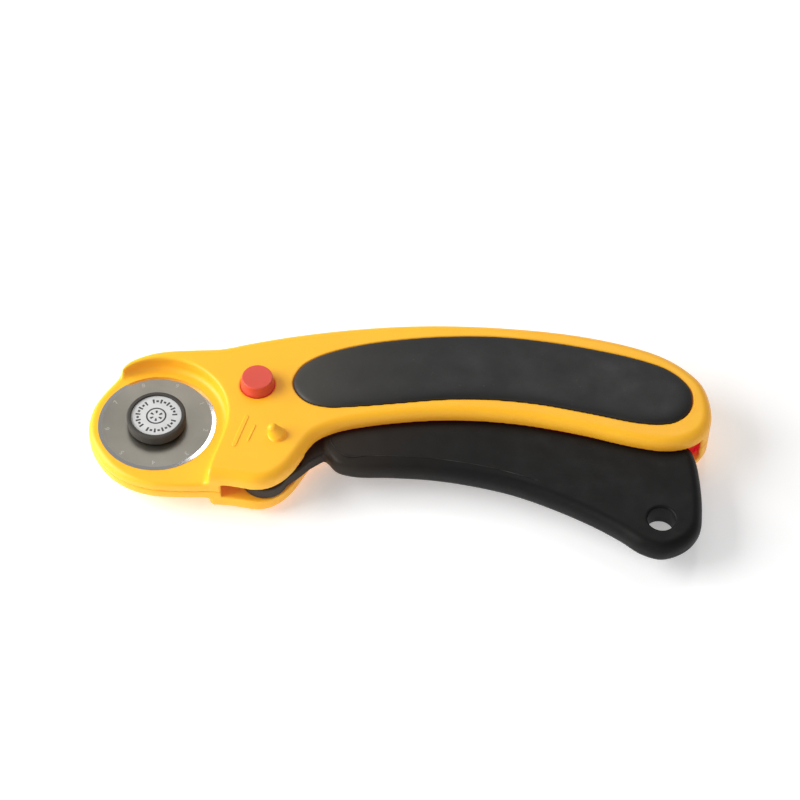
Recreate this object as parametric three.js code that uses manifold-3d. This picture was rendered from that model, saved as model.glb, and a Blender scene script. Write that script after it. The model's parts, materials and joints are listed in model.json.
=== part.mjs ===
// Rotary cutter with a squeeze trigger: a round blade on a pivoting lever between two handle shells.
// Units are millimetres. The cutter lies on its back: +X runs along the handle, +Z faces the front.
// Places are given from the blade's axis, at the seam between the shells. At the end the whole cutter
// moves, so that its origin is under the middle of its outline, on the surface that it lies on.
import * as THREE from "three";
import { mergeVertices } from "three/addons/utils/BufferGeometryUtils.js";
import Module from "manifold-3d";

const wasm = await Module();
wasm.setup();

// ---- Driving dimensions ----
const OUTLINE_MIDDLE = [93, -4];
const CLEARANCE = 0.2;
const AXLE = [0, 0];

const BLADE = { r: 22.5, thick: 0.3, lip: 0.03, bevel: 1.4, holeR: 4.1, gap: 0.1 };

const SEAM_HALF = 0.1;
const HEAD_FRONT = 4.3; // front face of the flat head, behind the blade
const HEAD_BACK = 4.9; // back face of the flat head
const SHELL_HALF = 10.7; // half the thickness of the handle
const EDGE_ROUND = 4; // rounding of the handle's outer edge
const WALL = 2.6;
const RECESS_R = 27; // wall of the blade recess, round the blade's axis
const RECESS_FROM = -12; // degrees
const RECESS_TO = 124;
const HEAD_ROOM = 2.5; // half the height of the hollow for the lever's arm
const NECK_ROOM_FRONT = 4.2;
const NECK_ROOM_BACK = 3.05;
const LEVER_ROOM = 5.3;
const DEEP_ROOM = 7.6;
const DEEP_STEP = 0.8; // how far the deep hollow stands in from the lever's
const NOTCH_X = 25.8; // where the side opening starts
const HANDLE_ROOM_X = 57; // where the lever's broad body starts inside the handle

const PIVOT = [42, -21];
const SQUEEZE_DEG = 12;
const PIN = { r: 2.5, half: 7.7 };
const PIN_HOLE_R = 2.6;
const BOSS_R = 9;

const LEVER_HALF = 5;
const LEVER_ROUND = 4.4;
const NECK_HALF = 2.75;
const ARM_HALF = 2.2;
const ARM_WIDTH = 13;
const EYE_R = 8;
const HANG_HOLE = { at: [190.4, -41.8], r: 5.25, flare: 1 };

const SHOULDER_R = 3.9; // bolt shoulder that the blade turns on
const THREAD_R = 2.9;
const THREAD_GAP = 0.1;
const FLAT_HALF = 2.3; // half the distance across the bolt's two flats
const BOLT = { end: -9.5, chamfer: 0.5, seat: 2.35, flangeR: 7, flangeLow: 5.6, top: 6.8 };
const CAP = { r: 11.3, footR: 10.9, low: 4.95, foot: 0.65, top: 9.6, chamfer: 0.5, hollowTop: 7 };
const LABEL = { r: 9.6, low: 8.7, top: 8.85 };
const LABEL_SEAT = 8.65;
const WASHER = { r: 8.5, holeR: 4.3, thick: 0.35, bow: 0.006 };
const NUT = { r: 9, low: -10.1, top: -5.9, grooves: 12, grooveR: 1.1, grooveOut: 0.4 };
const INSERT_LOW = -9.8;

const LOCK = [38, 14.4];
const LOCK_TRAVEL = 4.5;
const LOCK_HEAD = { r: 5.9, top: 15.5, chamfer: 0.6 };
const LOCK_COLLAR = { r: 6.5, low: 10.1, top: 13 };
const LOCK_WIDE = { r: 3.1, low: 2.7 }; // the part that locks the lever
const LOCK_WAIST = { r: 1.7, low: -9 }; // the part that lets the lever pass
const LOCK_REAR = { low: -10.6, step: -7, sleeveR: 3.4, top: -5.6, socket: -9.2 };
const LOCK_PLATE = { fromR: 6, beyond: 5.5, sideDeg: 8.5 };
const CLIP = { z: 3.3, wireR: 0.45, away: 3.75, flare: 0.5, reach: 6, room: 1.4, roof: 4.2 };

const SPRING = { coilR: 4.7, wireR: 0.5, turns: 3, top: 7.1, low: 3.6 };
const SPRING_ANCHOR = { r: 11.4, deg: 150, slotTop: 7.75 };
const SPRING_LEG = { r: 13, deg: 28, slotTop: 4.8, tip: 1 };
const SPRING_SEAT = { inner: 3.7, outer: 5.7, top: 7.7, slotHalf: 1.3, start: 4.5, past: 1.2 };
const LEG_SLOT_HALF = 0.9;

const PAD = { floor: 9.4, low: 9.55, top: 12.3, bevel: 2.4, depth: 8 };
const NUB = { at: [46.4, -9.6], baseR: 3.4, tipR: 1.3, height: 5, sunk: 0.4, leanX: -0.32, leanY: 0.14 };

const SCREWS = [
  [27, 27],
  [72, 28],
  [132, 34],
  [178, 28],
];
const SCREW = { headR: 2.4, headLow: -9.3, headTop: -7.7, r: 1.4, shankTop: 4.2, tip: 5, bossR: 3.5 };
const SCREW_SLOT = { half: 0.3, reach: 1.7, floor: -8.6 };
const SCREW_HOLE_TOP = 5.4;
const SCREW_BOSS_TOP = 8.1;

const ROUND_SEGMENTS = 20;
const CAP_SEGMENTS = 32;
const BLADE_SEGMENTS = 64;
const FAR = 60; // reach of cutting tools beyond the part

const COLOURS = {
  shell: [0xf7b62e, 0.42, 0],
  grip: [0x3a3a3c, 0.62, 0],
  lever: [0x242424, 0.6, 0],
  steel: [0x9a9a95, 0.28, 1],
  cap: [0x3d3a36, 0.5, 0],
  label: [0xdedede, 0.45, 0],
  red: [0xd8392c, 0.4, 0],
  brass: [0xb58b3c, 0.35, 1],
};

// ---- Outlines ----
// Outside of the head and handle, clockwise from the head's left.
const SILHOUETTE = [
  [-26.2, -1], [-25, 8.2], [-21.8, 15], [-18.6, 19.9], [-16.2, 23.2], [-12, 27], [-4.2, 30.8], [3.5, 32.4],
  [13, 33.1], [23, 33.8], [34.6, 36.9], [50, 40.5], [70, 44], [92, 46.4], [112.5, 47.1], [136, 46.1],
  [160, 43.3], [181, 38.3], [194.5, 32.8], [203.5, 26.2], [209.5, 18.6], [211.9, 8], [211, -0.5],
  [207.2, -6.4], [201.5, -9.9], [193.5, -11.3], [182, -9.6], [160, -3.7], [137, 0.7], [114, 2.2], [92, 0.5],
  [72.3, -3.3], [64.8, -6.3], [60.8, -9.2], [57.8, -13.5], [55.1, -18.6], [52.2, -23.4], [48.3, -27.6],
  [43.8, -30.3], [38.6, -31.1], [33.6, -30.3], [28.8, -29.5], [22, -29.1], [8, -29.2], [-1.5, -28.4],
  [-9.8, -25.5], [-16.4, -20.9], [-21.3, -14.9], [-25, -7.6],
];
// The soft grip let into each shell.
const GRIP = [
  [51.6, 16], [54.4, 23.2], [60, 28], [67.6, 31.6], [79, 35.1], [93, 37.7], [110, 39.5], [130, 39.8],
  [150, 37.6], [171, 33.3], [186, 29], [195.3, 24.9], [201, 19.9], [204.2, 14.4], [204.3, 7.5], [201.7, 2.4],
  [196.5, -1.2], [190, -2], [182.4, -1.3], [165, 2.8], [145, 7], [125.6, 8.9], [109, 8.5], [91, 6.4],
  [76, 4.7], [64.5, 4.2], [57.4, 6.4], [53, 11],
];
// The lever's broad body, from the top of its slanted front end.
const LEVER_BODY = [
  [62.6, -4], [66, -1], [78, 2.3], [95, 4.5], [110, 5.6], [125, 5.4], [140, 3.6], [155, 0.4], [170, -3.8],
  [184, -7.4], [194.4, -8.7], [202.4, -9.3], [204.8, -13.2], [206.4, -24], [206.2, -36.8], [204.8, -45.2],
  [199.7, -52], [190.7, -55.8], [182.8, -53.6], [175, -47.7], [165, -41.2], [150.4, -33.6], [135.5, -27.4],
  [120.4, -23.4], [105.3, -20.9], [90, -20], [75.5, -19.7], [68.6, -17.5], [64.6, -12], [62.3, -8],
];
// The thin neck between the lever's boss and its body.
const NECK = [
  [38, -13], [52, -4], [64, 0], [68, -6], [68, -14.4], [64, -12.4], [58.8, -16.2], [55, -20.2],
  [50.4, -24.2], [42, -24],
];
// The room that the neck sweeps through, open at the bottom.
const NECK_SWEEP = [
  [NOTCH_X, -FAR], [HANDLE_ROOM_X + 3, -FAR], [HANDLE_ROOM_X + 3, 8], [50, 6], [40, -4], [31, -12],
  [NOTCH_X, -20],
];
// The room that the lever's body sweeps through, open at the bottom and at the tail.
const LEVER_SWEEP = [
  [HANDLE_ROOM_X, -FAR], [HANDLE_ROOM_X, -5], [62, 2], [90, 12], [150, 10], [207.4, -2], [207.4, -5],
  [250, -5], [250, -FAR],
];

// ---- Helpers ----
const toVectors = (points) => points.map(([x, y]) => new THREE.Vector2(x, y));
const union = (first, ...rest) => rest.reduce((whole, part) => whole.add(part), first);
const without = (first, ...rest) => rest.reduce((whole, part) => whole.subtract(part), first);
const polar = ([cx, cy], radius, angle) => [cx + radius * Math.cos(angle), cy + radius * Math.sin(angle)];
const degrees = THREE.MathUtils.degToRad;
const mirrored = (part) => part.mirror([0, 0, 1]);

// A smooth closed outline through the points.
function smooth(points, samples) {
  const curve = new THREE.CatmullRomCurve3(
    points.map(([x, y]) => new THREE.Vector3(x, y, 0)),
    true,
    "centripetal",
  );
  return curve.getSpacedPoints(samples).slice(0, -1).map((p) => [p.x, p.y]);
}

// The outline moved inwards by a distance, for an outline that runs clockwise.
function inset(points, distance) {
  return points.map(([x, y], i) => {
    const [ax, ay] = points.at(i - 1);
    const [bx, by] = points[(i + 1) % points.length];
    const length = Math.hypot(bx - ax, by - ay);
    return [x + ((by - ay) / length) * distance, y - ((bx - ax) / length) * distance];
  });
}

function solid(geometry) {
  const bare = geometry.index ? geometry.toNonIndexed() : geometry.clone();
  bare.deleteAttribute("normal");
  bare.deleteAttribute("uv");
  const merged = mergeVertices(bare, 1e-4);
  return new wasm.Manifold(
    new wasm.Mesh({
      numProp: 3,
      vertProperties: new Float32Array(merged.attributes.position.array),
      triVerts: new Uint32Array(merged.index.array),
    }),
  );
}

// An outline extruded from z0 to z1, with both edges rounded when a rounding is given.
function prism(outline, z0, z1, round = 0) {
  const shape = outline instanceof THREE.Shape ? outline : new THREE.Shape(toVectors(outline));
  const geometry = new THREE.ExtrudeGeometry(shape, {
    depth: z1 - z0 - 2 * round,
    bevelEnabled: round > 0,
    bevelThickness: round,
    bevelSize: round,
    bevelOffset: -round,
    bevelSegments: 2,
    curveSegments: 8,
  });
  return solid(geometry.translate(0, 0, z0 + round));
}

// A body of revolution along Z. The profile holds radius and z, from low z to high.
function turned([x, y], profile, segments = ROUND_SEGMENTS) {
  const geometry = new THREE.LatheGeometry(toVectors(profile), segments);
  return solid(geometry.rotateX(Math.PI / 2).translate(x, y, 0));
}

// A cylinder or cone along Z.
function rod([x, y], z0, z1, r0, r1 = r0, segments = ROUND_SEGMENTS) {
  const geometry = new THREE.CylinderGeometry(r1, r0, z1 - z0, segments);
  return solid(geometry.rotateX(Math.PI / 2).translate(x, y, (z0 + z1) / 2));
}

function block(x0, x1, y0, y1, z0, z1) {
  const geometry = new THREE.BoxGeometry(x1 - x0, y1 - y0, z1 - z0);
  return solid(geometry.translate((x0 + x1) / 2, (y0 + y1) / 2, (z0 + z1) / 2));
}

// A straight bar's outline from one point to another, with square ends.
function bar([ax, ay], [bx, by], half) {
  const length = Math.hypot(bx - ax, by - ay);
  const [nx, ny] = [(-(by - ay) / length) * half, ((bx - ax) / length) * half];
  return [[ax + nx, ay + ny], [ax - nx, ay - ny], [bx - nx, by - ny], [bx + nx, by + ny]];
}

// A slot that follows an arc round a centre, with round ends.
function arcSlot(centre, radius, from, to, half) {
  const shape = new THREE.Shape();
  shape.absarc(...centre, radius + half, from, to, false);
  shape.absarc(...polar(centre, radius, to), half, to, to + Math.PI, false);
  shape.absarc(...centre, radius - half, to, from, true);
  shape.absarc(...polar(centre, radius, from), half, from + Math.PI, from + 2 * Math.PI, false);
  return shape;
}

// A round wire along a smooth path.
function wire(points, radius, steps) {
  const extrudePath = new THREE.CatmullRomCurve3(points.map((p) => new THREE.Vector3(...p)));
  const section = new THREE.Shape().absarc(0, 0, radius, 0, 2 * Math.PI, false);
  const options = { steps, extrudePath, curveSegments: 3, bevelEnabled: false };
  return solid(new THREE.ExtrudeGeometry(section, options));
}

const group = new THREE.Group();

function add(name, part, colour) {
  const { vertProperties, triVerts } = part.getMesh();
  const geometry = new THREE.BufferGeometry();
  geometry.setAttribute("position", new THREE.BufferAttribute(new Float32Array(vertProperties), 3));
  geometry.setIndex(new THREE.BufferAttribute(new Uint32Array(triVerts), 1));
  geometry.computeVertexNormals();
  const [color, roughness, metalness] = COLOURS[colour];
  const mesh = new THREE.Mesh(geometry, new THREE.MeshStandardMaterial({ color, roughness, metalness }));
  mesh.name = name;
  group.add(mesh);
}

// ---- Places worked out from the driving dimensions ----
const silhouette = smooth(SILHOUETTE, 88);
const armLength = Math.hypot(...PIVOT);
const armAngle = Math.atan2(-PIVOT[1], -PIVOT[0]);
const squeeze = degrees(SQUEEZE_DEG);
const lockRadius = Math.hypot(LOCK[0] - PIVOT[0], LOCK[1] - PIVOT[1]);
const lockAngle = Math.atan2(LOCK[1] - PIVOT[1], LOCK[0] - PIVOT[0]);
const legAngle = degrees(SPRING_LEG.deg);
const anchorAngle = degrees(SPRING_ANCHOR.deg);

// ---- Handle shells ----
// The recess that the blade or the nut lies in: an arc round the axis, then an edge down to the lobe.
function recess(head) {
  const [edgeX, edgeY] = [21, -29];
  const from = polar(AXLE, RECESS_R, degrees(RECESS_FROM));
  const [endX, endY] = polar(AXLE, RECESS_R, degrees(RECESS_TO));
  const shape = new THREE.Shape();
  shape.moveTo(-FAR, -FAR);
  shape.lineTo(edgeX, -FAR);
  shape.lineTo(edgeX, edgeY);
  shape.bezierCurveTo(edgeX + 0.4, edgeY + 7, edgeX + 3.6, edgeY + 15, ...from);
  shape.absarc(...AXLE, RECESS_R, degrees(RECESS_FROM), degrees(RECESS_TO), false);
  shape.lineTo(endX - 8, endY + 3);
  shape.lineTo(-FAR, endY + 3);
  return prism(shape, head, FAR);
}

// One half of the hollow in the handle: room for the arm, the neck and the lever's body.
function hollow(neckRoom) {
  const inner = inset(silhouette, WALL);
  const lever = union(
    prism(inner, 0, LEVER_ROOM),
    prism(LEVER_SWEEP, 0, LEVER_ROOM),
    prism(inset(silhouette, WALL + DEEP_STEP), 0, DEEP_ROOM),
  ).intersect(block(HANDLE_ROOM_X, FAR * 5, -FAR, FAR, -FAR, FAR));
  return union(prism(inner, 0, HEAD_ROOM), prism(NECK_SWEEP, 0, neckRoom), lever);
}

// What the two shells have in common, as a front half. Only the head and the neck's room differ.
function halfShell(head, neckRoom) {
  const whole = prism(silhouette, -SHELL_HALF, SHELL_HALF, EDGE_ROUND);
  const above = block(-FAR, FAR * 5, -FAR, FAR, SEAM_HALF, FAR);
  const bosses = SCREWS.map((at) => rod(at, SEAM_HALF, SCREW_BOSS_TOP, SCREW.bossR));
  const axleSlot = arcSlot(PIVOT, armLength, armAngle, armAngle + squeeze, SHOULDER_R + 0.3);
  return without(
    union(without(whole, recess(head), hollow(neckRoom)).intersect(above), ...bosses),
    prism(inset(smooth(GRIP, 54), -CLEARANCE), PAD.floor, FAR),
    prism(axleSlot, 0, FAR),
    rod(PIVOT, 0, PIN.half + CLEARANCE, PIN_HOLE_R),
  );
}

// The small peg on the front shell, which leans towards the blade.
function nub() {
  const lean = new THREE.Matrix4().makeShear(0, 0, 0, 0, NUB.leanX, NUB.leanY);
  const peg = new THREE.CylinderGeometry(NUB.tipR, NUB.baseR, NUB.height + NUB.sunk, 24);
  peg.rotateX(Math.PI / 2).translate(0, 0, (NUB.height - NUB.sunk) / 2);
  return solid(peg.applyMatrix4(lean).translate(...NUB.at, SHELL_HALF));
}

// The room for the return spring: a ring round the pin, and a slot for each leg.
function springSeat() {
  const { inner, outer, top, slotHalf, start, past } = SPRING_SEAT;
  const slot = (angle, reach) => {
    return bar(polar(PIVOT, start, angle), polar(PIVOT, reach + past, angle), slotHalf);
  };
  return union(
    without(rod(PIVOT, 0, top, outer), rod(PIVOT, -1, top + 1, inner)),
    prism(slot(anchorAngle, SPRING_ANCHOR.r), 0, SPRING_ANCHOR.slotTop),
    prism(slot(legAngle, SPRING_LEG.r), 0, SPRING_LEG.slotTop),
  );
}

function clipSeat() {
  const side = CLIP.away + CLIP.flare + CLIP.wireR + 0.1;
  const [left, right] = [LOCK[0] - CLIP.reach - CLIP.room, LOCK[0] + CLIP.away + CLIP.room];
  return block(left, right, LOCK[1] - side, LOCK[1] + side, 0, CLIP.roof);
}

function frontShell(half) {
  const collarFloor = LOCK_COLLAR.low - LOCK_TRAVEL - CLEARANCE;
  return without(
    union(half, nub()),
    ...SCREWS.map((at) => rod(at, 0, SCREW_HOLE_TOP, SCREW.r + 0.1)),
    springSeat(),
    rod(LOCK, collarFloor, FAR, LOCK_COLLAR.r + CLEARANCE),
    rod(LOCK, 0, collarFloor + 1, LOCK_WIDE.r + CLEARANCE),
    clipSeat(),
  );
}

function backShell(half) {
  const rearFloor = -LOCK_REAR.step - CLEARANCE;
  return without(
    half,
    ...SCREWS.map((at) => rod(at, 0, FAR, SCREW.r + CLEARANCE)),
    ...SCREWS.map((at) => rod(at, -SCREW.headTop - CLEARANCE, FAR, SCREW.headR + CLEARANCE)),
    rod(LOCK, rearFloor, FAR, LOCK_HEAD.r + CLEARANCE),
    rod(LOCK, 0, rearFloor + CLEARANCE, LOCK_REAR.sleeveR + 2 * CLEARANCE),
  );
}

function shells() {
  add("front_shell", frontShell(halfShell(HEAD_FRONT, NECK_ROOM_FRONT)), "shell");
  add("back_shell", mirrored(backShell(halfShell(HEAD_BACK, NECK_ROOM_BACK))), "shell");
}

// ---- Soft grips ----
function grips() {
  const above = block(-FAR, FAR * 5, -FAR, FAR, PAD.low, FAR);
  const pad = prism(smooth(GRIP, 54), PAD.top - PAD.depth, PAD.top, PAD.bevel).intersect(above);
  add("front_grip", pad, "grip");
  add("back_grip", mirrored(pad), "grip");
}

// ---- Trigger lever ----
// The plate that the lock bolt runs through, on the lever above its pivot.
function lockPlate() {
  const side = degrees(LOCK_PLATE.sideDeg);
  const low = lockAngle - squeeze - side;
  const high = lockAngle + side;
  const shape = new THREE.Shape();
  shape.moveTo(...polar(PIVOT, LOCK_PLATE.fromR, low));
  shape.absarc(...PIVOT, lockRadius + LOCK_PLATE.beyond, low, high, false);
  shape.lineTo(...polar(PIVOT, LOCK_PLATE.fromR, high));
  return prism(shape, -ARM_HALF, ARM_HALF);
}

// The slot with a wide hole at each end, which the lock bolt runs in.
function lockSlot() {
  const keyR = LOCK_WIDE.r + CLEARANCE;
  return union(
    prism(arcSlot(PIVOT, lockRadius, lockAngle - squeeze, lockAngle, LOCK_WAIST.r + 0.25), -FAR, FAR),
    rod(LOCK, -FAR, FAR, keyR),
    rod(polar(PIVOT, lockRadius, lockAngle - squeeze), -FAR, FAR, keyR),
  );
}

// The hanging hole near the tail, flared at both faces.
function hangHole() {
  const { at, r, flare } = HANG_HOLE;
  const half = flare / 2;
  return union(
    rod(at, -FAR, FAR, r),
    rod(at, LEVER_HALF - half, LEVER_HALF + half, r, r + flare),
    rod(at, -LEVER_HALF - half, half - LEVER_HALF, r + flare, r),
  );
}

// A rod on the blade's axis with two flats.
function flattedRod(radius, flat) {
  return rod(AXLE, -FAR, FAR, radius).intersect(block(-radius, radius, -flat, flat, -FAR, FAR));
}

function triggerLever() {
  const body = prism(smooth(LEVER_BODY, 60), -LEVER_HALF, LEVER_HALF, LEVER_ROUND);
  const boss = rod(PIVOT, -NECK_HALF, NECK_HALF, BOSS_R);
  const arm = prism(bar(AXLE, PIVOT, ARM_WIDTH / 2), -ARM_HALF, ARM_HALF);
  const eye = rod(AXLE, -ARM_HALF, ARM_HALF, EYE_R);
  const legSlot = arcSlot(PIVOT, SPRING_LEG.r, legAngle - squeeze, legAngle, LEG_SLOT_HALF);
  return without(
    union(body, prism(NECK, -NECK_HALF, NECK_HALF), boss, arm, eye, lockPlate()),
    lockSlot(),
    prism(legSlot, -FAR, FAR),
    rod(PIVOT, -FAR, FAR, PIN_HOLE_R),
    flattedRod(THREAD_R + 0.15, FLAT_HALF + 0.15),
    hangHole(),
  );
}

// ---- Blade and its mounting ----
function blade() {
  const bottom = HEAD_FRONT + BLADE.gap;
  const top = bottom + BLADE.thick;
  const profile = [
    [BLADE.holeR, bottom],
    [BLADE.r, bottom],
    [BLADE.r, bottom + BLADE.lip],
    [BLADE.r - BLADE.bevel, top],
    [BLADE.holeR, top],
    [BLADE.holeR, bottom],
  ];
  return turned(AXLE, profile, BLADE_SEGMENTS);
}

function boltCap() {
  const side = [[0, CAP.low], [CAP.footR, CAP.low], [CAP.r, CAP.low + CAP.foot]];
  const rim = [[CAP.r, CAP.top - CAP.chamfer], [CAP.r - CAP.chamfer, CAP.top], [0, CAP.top]];
  const seatR = LABEL.r + 0.1;
  return without(
    turned(AXLE, [...side, ...rim], CAP_SEGMENTS),
    rod(AXLE, LABEL_SEAT, FAR, seatR, seatR, CAP_SEGMENTS),
    rod(AXLE, 0, CAP.hollowTop, BOLT.flangeR + CLEARANCE),
  );
}

function bladeBolt() {
  const { end, chamfer, seat, flangeR, flangeLow, top } = BOLT;
  const shank = [[0, end], [THREAD_R - chamfer, end], [THREAD_R, end + chamfer], [THREAD_R, seat]];
  const shoulder = [[SHOULDER_R, seat], [SHOULDER_R, flangeLow]];
  const flange = [[flangeR, flangeLow], [flangeR, top], [0, top]];
  return without(
    turned(AXLE, [...shank, ...shoulder, ...flange]),
    block(-FAR, FAR, FLAT_HALF, FAR, -seat, seat),
    block(-FAR, FAR, -FAR, -FLAT_HALF, -seat, seat),
  );
}

// A thin ring bowed along X, so that it presses the nut away from the head.
function springWasher() {
  const ring = new THREE.Shape().absarc(...AXLE, WASHER.r, 0, 2 * Math.PI, false);
  ring.holes.push(new THREE.Path().absarc(...AXLE, WASHER.holeR, 0, 2 * Math.PI, true));
  const options = { depth: WASHER.thick, bevelEnabled: false, curveSegments: 18 };
  const geometry = new THREE.ExtrudeGeometry(ring, options);
  geometry.translate(0, 0, -WASHER.thick - HEAD_BACK - BLADE.gap);
  const place = geometry.attributes.position;
  for (let i = 0; i < place.count; i += 1) {
    place.setZ(i, place.getZ(i) - WASHER.bow * place.getX(i) ** 2);
  }
  return solid(geometry);
}

function bladeNut() {
  const grooves = Array.from({ length: NUT.grooves }, (_, i) => {
    const at = polar(AXLE, NUT.r + NUT.grooveOut, (2 * Math.PI * i) / NUT.grooves);
    return rod(at, -FAR, FAR, NUT.grooveR, NUT.grooveR, 8);
  });
  const bore = rod(AXLE, -FAR, 0, SHOULDER_R + THREAD_GAP);
  return without(rod(AXLE, NUT.low, NUT.top, NUT.r), bore, ...grooves);
}

function nutInsert() {
  const bore = rod(AXLE, -FAR, 0, THREAD_R + THREAD_GAP);
  return without(rod(AXLE, INSERT_LOW, -BOLT.seat, SHOULDER_R), bore);
}

function capLabel() {
  return rod(AXLE, LABEL.low, LABEL.top, LABEL.r, LABEL.r, CAP_SEGMENTS);
}

// ---- Pivot and springs ----
// The coil with one leg anchored in the front shell and the other turned down into the lever.
function returnSpring() {
  const { coilR, wireR, turns, top, low } = SPRING;
  const sweep = legAngle - anchorAngle - 2 * Math.PI * turns;
  const count = 30;
  const points = [SPRING_ANCHOR.r, coilR + 2.3].map((r) => [...polar(PIVOT, r, anchorAngle), top]);
  for (let i = 0; i <= count; i += 1) {
    const part = i / count;
    points.push([...polar(PIVOT, coilR, anchorAngle + sweep * part), top + (low - top) * part]);
  }
  const leg = polar(PIVOT, SPRING_LEG.r, legAngle);
  points.push([...polar(PIVOT, SPRING_LEG.r - 5, legAngle), low]);
  points.push([...polar(PIVOT, SPRING_LEG.r - 1, legAngle), low]);
  points.push([...leg, low - 0.8], [...leg, SPRING_LEG.tip]);
  return wire(points, wireR, 80);
}

// A bent wire that grips the lock bolt from both sides.
function lockClip() {
  const { z, wireR, away, flare, reach } = CLIP;
  const [x, y] = LOCK;
  const points = [[x - reach, y + away + flare, z], [x - reach + 2, y + away, z]];
  const count = 8;
  for (let i = 0; i <= count; i += 1) {
    points.push([...polar(LOCK, away, Math.PI / 2 - (Math.PI * i) / count), z]);
  }
  points.push([x - reach + 2, y - away, z], [x - reach, y - away - flare, z]);
  return wire(points, wireR, 24);
}

// ---- Lock ----
function lockButton() {
  const { r, top, chamfer } = LOCK_HEAD;
  const waist = [[0, LOCK_WAIST.low], [LOCK_WAIST.r, LOCK_WAIST.low], [LOCK_WAIST.r, LOCK_WIDE.low]];
  const { r: collarR, low, top: step } = LOCK_COLLAR;
  const wide = [[LOCK_WIDE.r, LOCK_WIDE.low], [LOCK_WIDE.r, low]];
  const collar = [[collarR, low], [collarR, step], [r, step]];
  return turned(LOCK, [...waist, ...wide, ...collar, [r, top - chamfer], [r - chamfer, top], [0, top]]);
}

function lockButtonEnd() {
  const { low, step, sleeveR, top, socket } = LOCK_REAR;
  const head = [[0, low], [LOCK_HEAD.r, low], [LOCK_HEAD.r, step]];
  const sleeve = [[sleeveR, step], [sleeveR, top], [0, top]];
  return without(turned(LOCK, [...head, ...sleeve]), rod(LOCK, socket, 0, LOCK_WAIST.r + 0.1));
}

// ---- Shell screws ----
function screw(at) {
  const { headR, headLow, headTop, r, shankTop, tip } = SCREW;
  const { half, reach, floor } = SCREW_SLOT;
  const [x, y] = at;
  const head = [[0, headLow], [headR, headLow], [headR, headTop]];
  const shank = [[r, headTop], [r, shankTop], [0, tip]];
  return without(
    turned(at, [...head, ...shank], 14),
    block(x - reach, x + reach, y - half, y + half, -FAR, floor),
    block(x - half, x + half, y - reach, y + reach, -FAR, floor),
  );
}

shells();
grips();
add("trigger_lever", triggerLever(), "lever");
add("blade", blade(), "steel");
add("blade_bolt", bladeBolt(), "steel");
add("bolt_cap", boltCap(), "cap");
add("cap_label", capLabel(), "label");
add("spring_washer", springWasher(), "steel");
add("blade_nut", bladeNut(), "cap");
add("nut_insert", nutInsert(), "brass");
add("pivot_pin", rod(PIVOT, -PIN.half, PIN.half, PIN.r), "steel");
add("return_spring", returnSpring(), "steel");
add("lock_clip", lockClip(), "steel");
add("lock_button", lockButton(), "red");
add("lock_button_end", lockButtonEnd(), "red");
SCREWS.forEach((at, i) => add(`shell_screw_${i + 1}`, screw(at), "steel"));

group.position.set(-OUTLINE_MIDDLE[0], -OUTLINE_MIDDLE[1], PAD.top);

export default group;
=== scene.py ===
"""Looks of the squeeze-handle rotary cutter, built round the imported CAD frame.

Lengths are millimetres from the blade's axis at the seam between the shells, +X along the handle and +Z
to the front. to_mesh() and wire() move them into the frame, in metres. Moulded parts are signed distance
fields, meshed on a grid, so that every edge and corner has its real rounding. Turned parts are lathe
profiles. The photo doesn't show the back or the inside: those follow the CAD solids.
"""
import json
import math

import bpy
import numpy as np
from mathutils import Matrix, Vector


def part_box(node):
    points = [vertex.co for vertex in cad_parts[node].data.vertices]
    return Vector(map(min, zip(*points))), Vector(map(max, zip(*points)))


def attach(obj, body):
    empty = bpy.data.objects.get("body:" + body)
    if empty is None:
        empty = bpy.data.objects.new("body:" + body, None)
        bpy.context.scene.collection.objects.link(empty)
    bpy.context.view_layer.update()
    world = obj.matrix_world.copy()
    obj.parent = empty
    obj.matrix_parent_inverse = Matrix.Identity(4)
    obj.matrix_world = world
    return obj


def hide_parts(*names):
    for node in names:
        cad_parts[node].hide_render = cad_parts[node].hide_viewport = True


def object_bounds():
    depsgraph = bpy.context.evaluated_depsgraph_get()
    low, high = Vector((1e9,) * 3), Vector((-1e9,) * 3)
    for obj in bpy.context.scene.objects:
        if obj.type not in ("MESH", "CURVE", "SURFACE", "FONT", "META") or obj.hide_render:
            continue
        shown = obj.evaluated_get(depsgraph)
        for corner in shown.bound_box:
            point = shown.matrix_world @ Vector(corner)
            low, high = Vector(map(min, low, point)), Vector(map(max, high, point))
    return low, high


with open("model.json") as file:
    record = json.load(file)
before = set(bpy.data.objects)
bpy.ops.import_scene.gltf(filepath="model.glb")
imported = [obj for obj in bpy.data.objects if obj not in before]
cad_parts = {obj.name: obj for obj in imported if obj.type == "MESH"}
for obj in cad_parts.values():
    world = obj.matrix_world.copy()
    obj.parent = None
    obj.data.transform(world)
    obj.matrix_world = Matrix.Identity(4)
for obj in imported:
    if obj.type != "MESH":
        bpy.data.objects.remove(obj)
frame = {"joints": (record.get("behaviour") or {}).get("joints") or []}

MM = 0.001
CAD_BOX = [list(corner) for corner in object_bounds()]


def frame_box(name):
    """A CAD node's lowest and highest corners in the frame, in millimetres."""
    return [np.array(corner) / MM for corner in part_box(name)]


# The blade's axis at the seam, in the frame.
ORIGIN = sum(frame_box("blade")) / 2
ORIGIN[2] = (frame_box("front_shell")[0][2] + frame_box("back_shell")[1][2]) / 2


def node_box(name):
    """A CAD node's lowest and highest corners, from ORIGIN."""
    return [corner - ORIGIN for corner in frame_box(name)]


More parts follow.
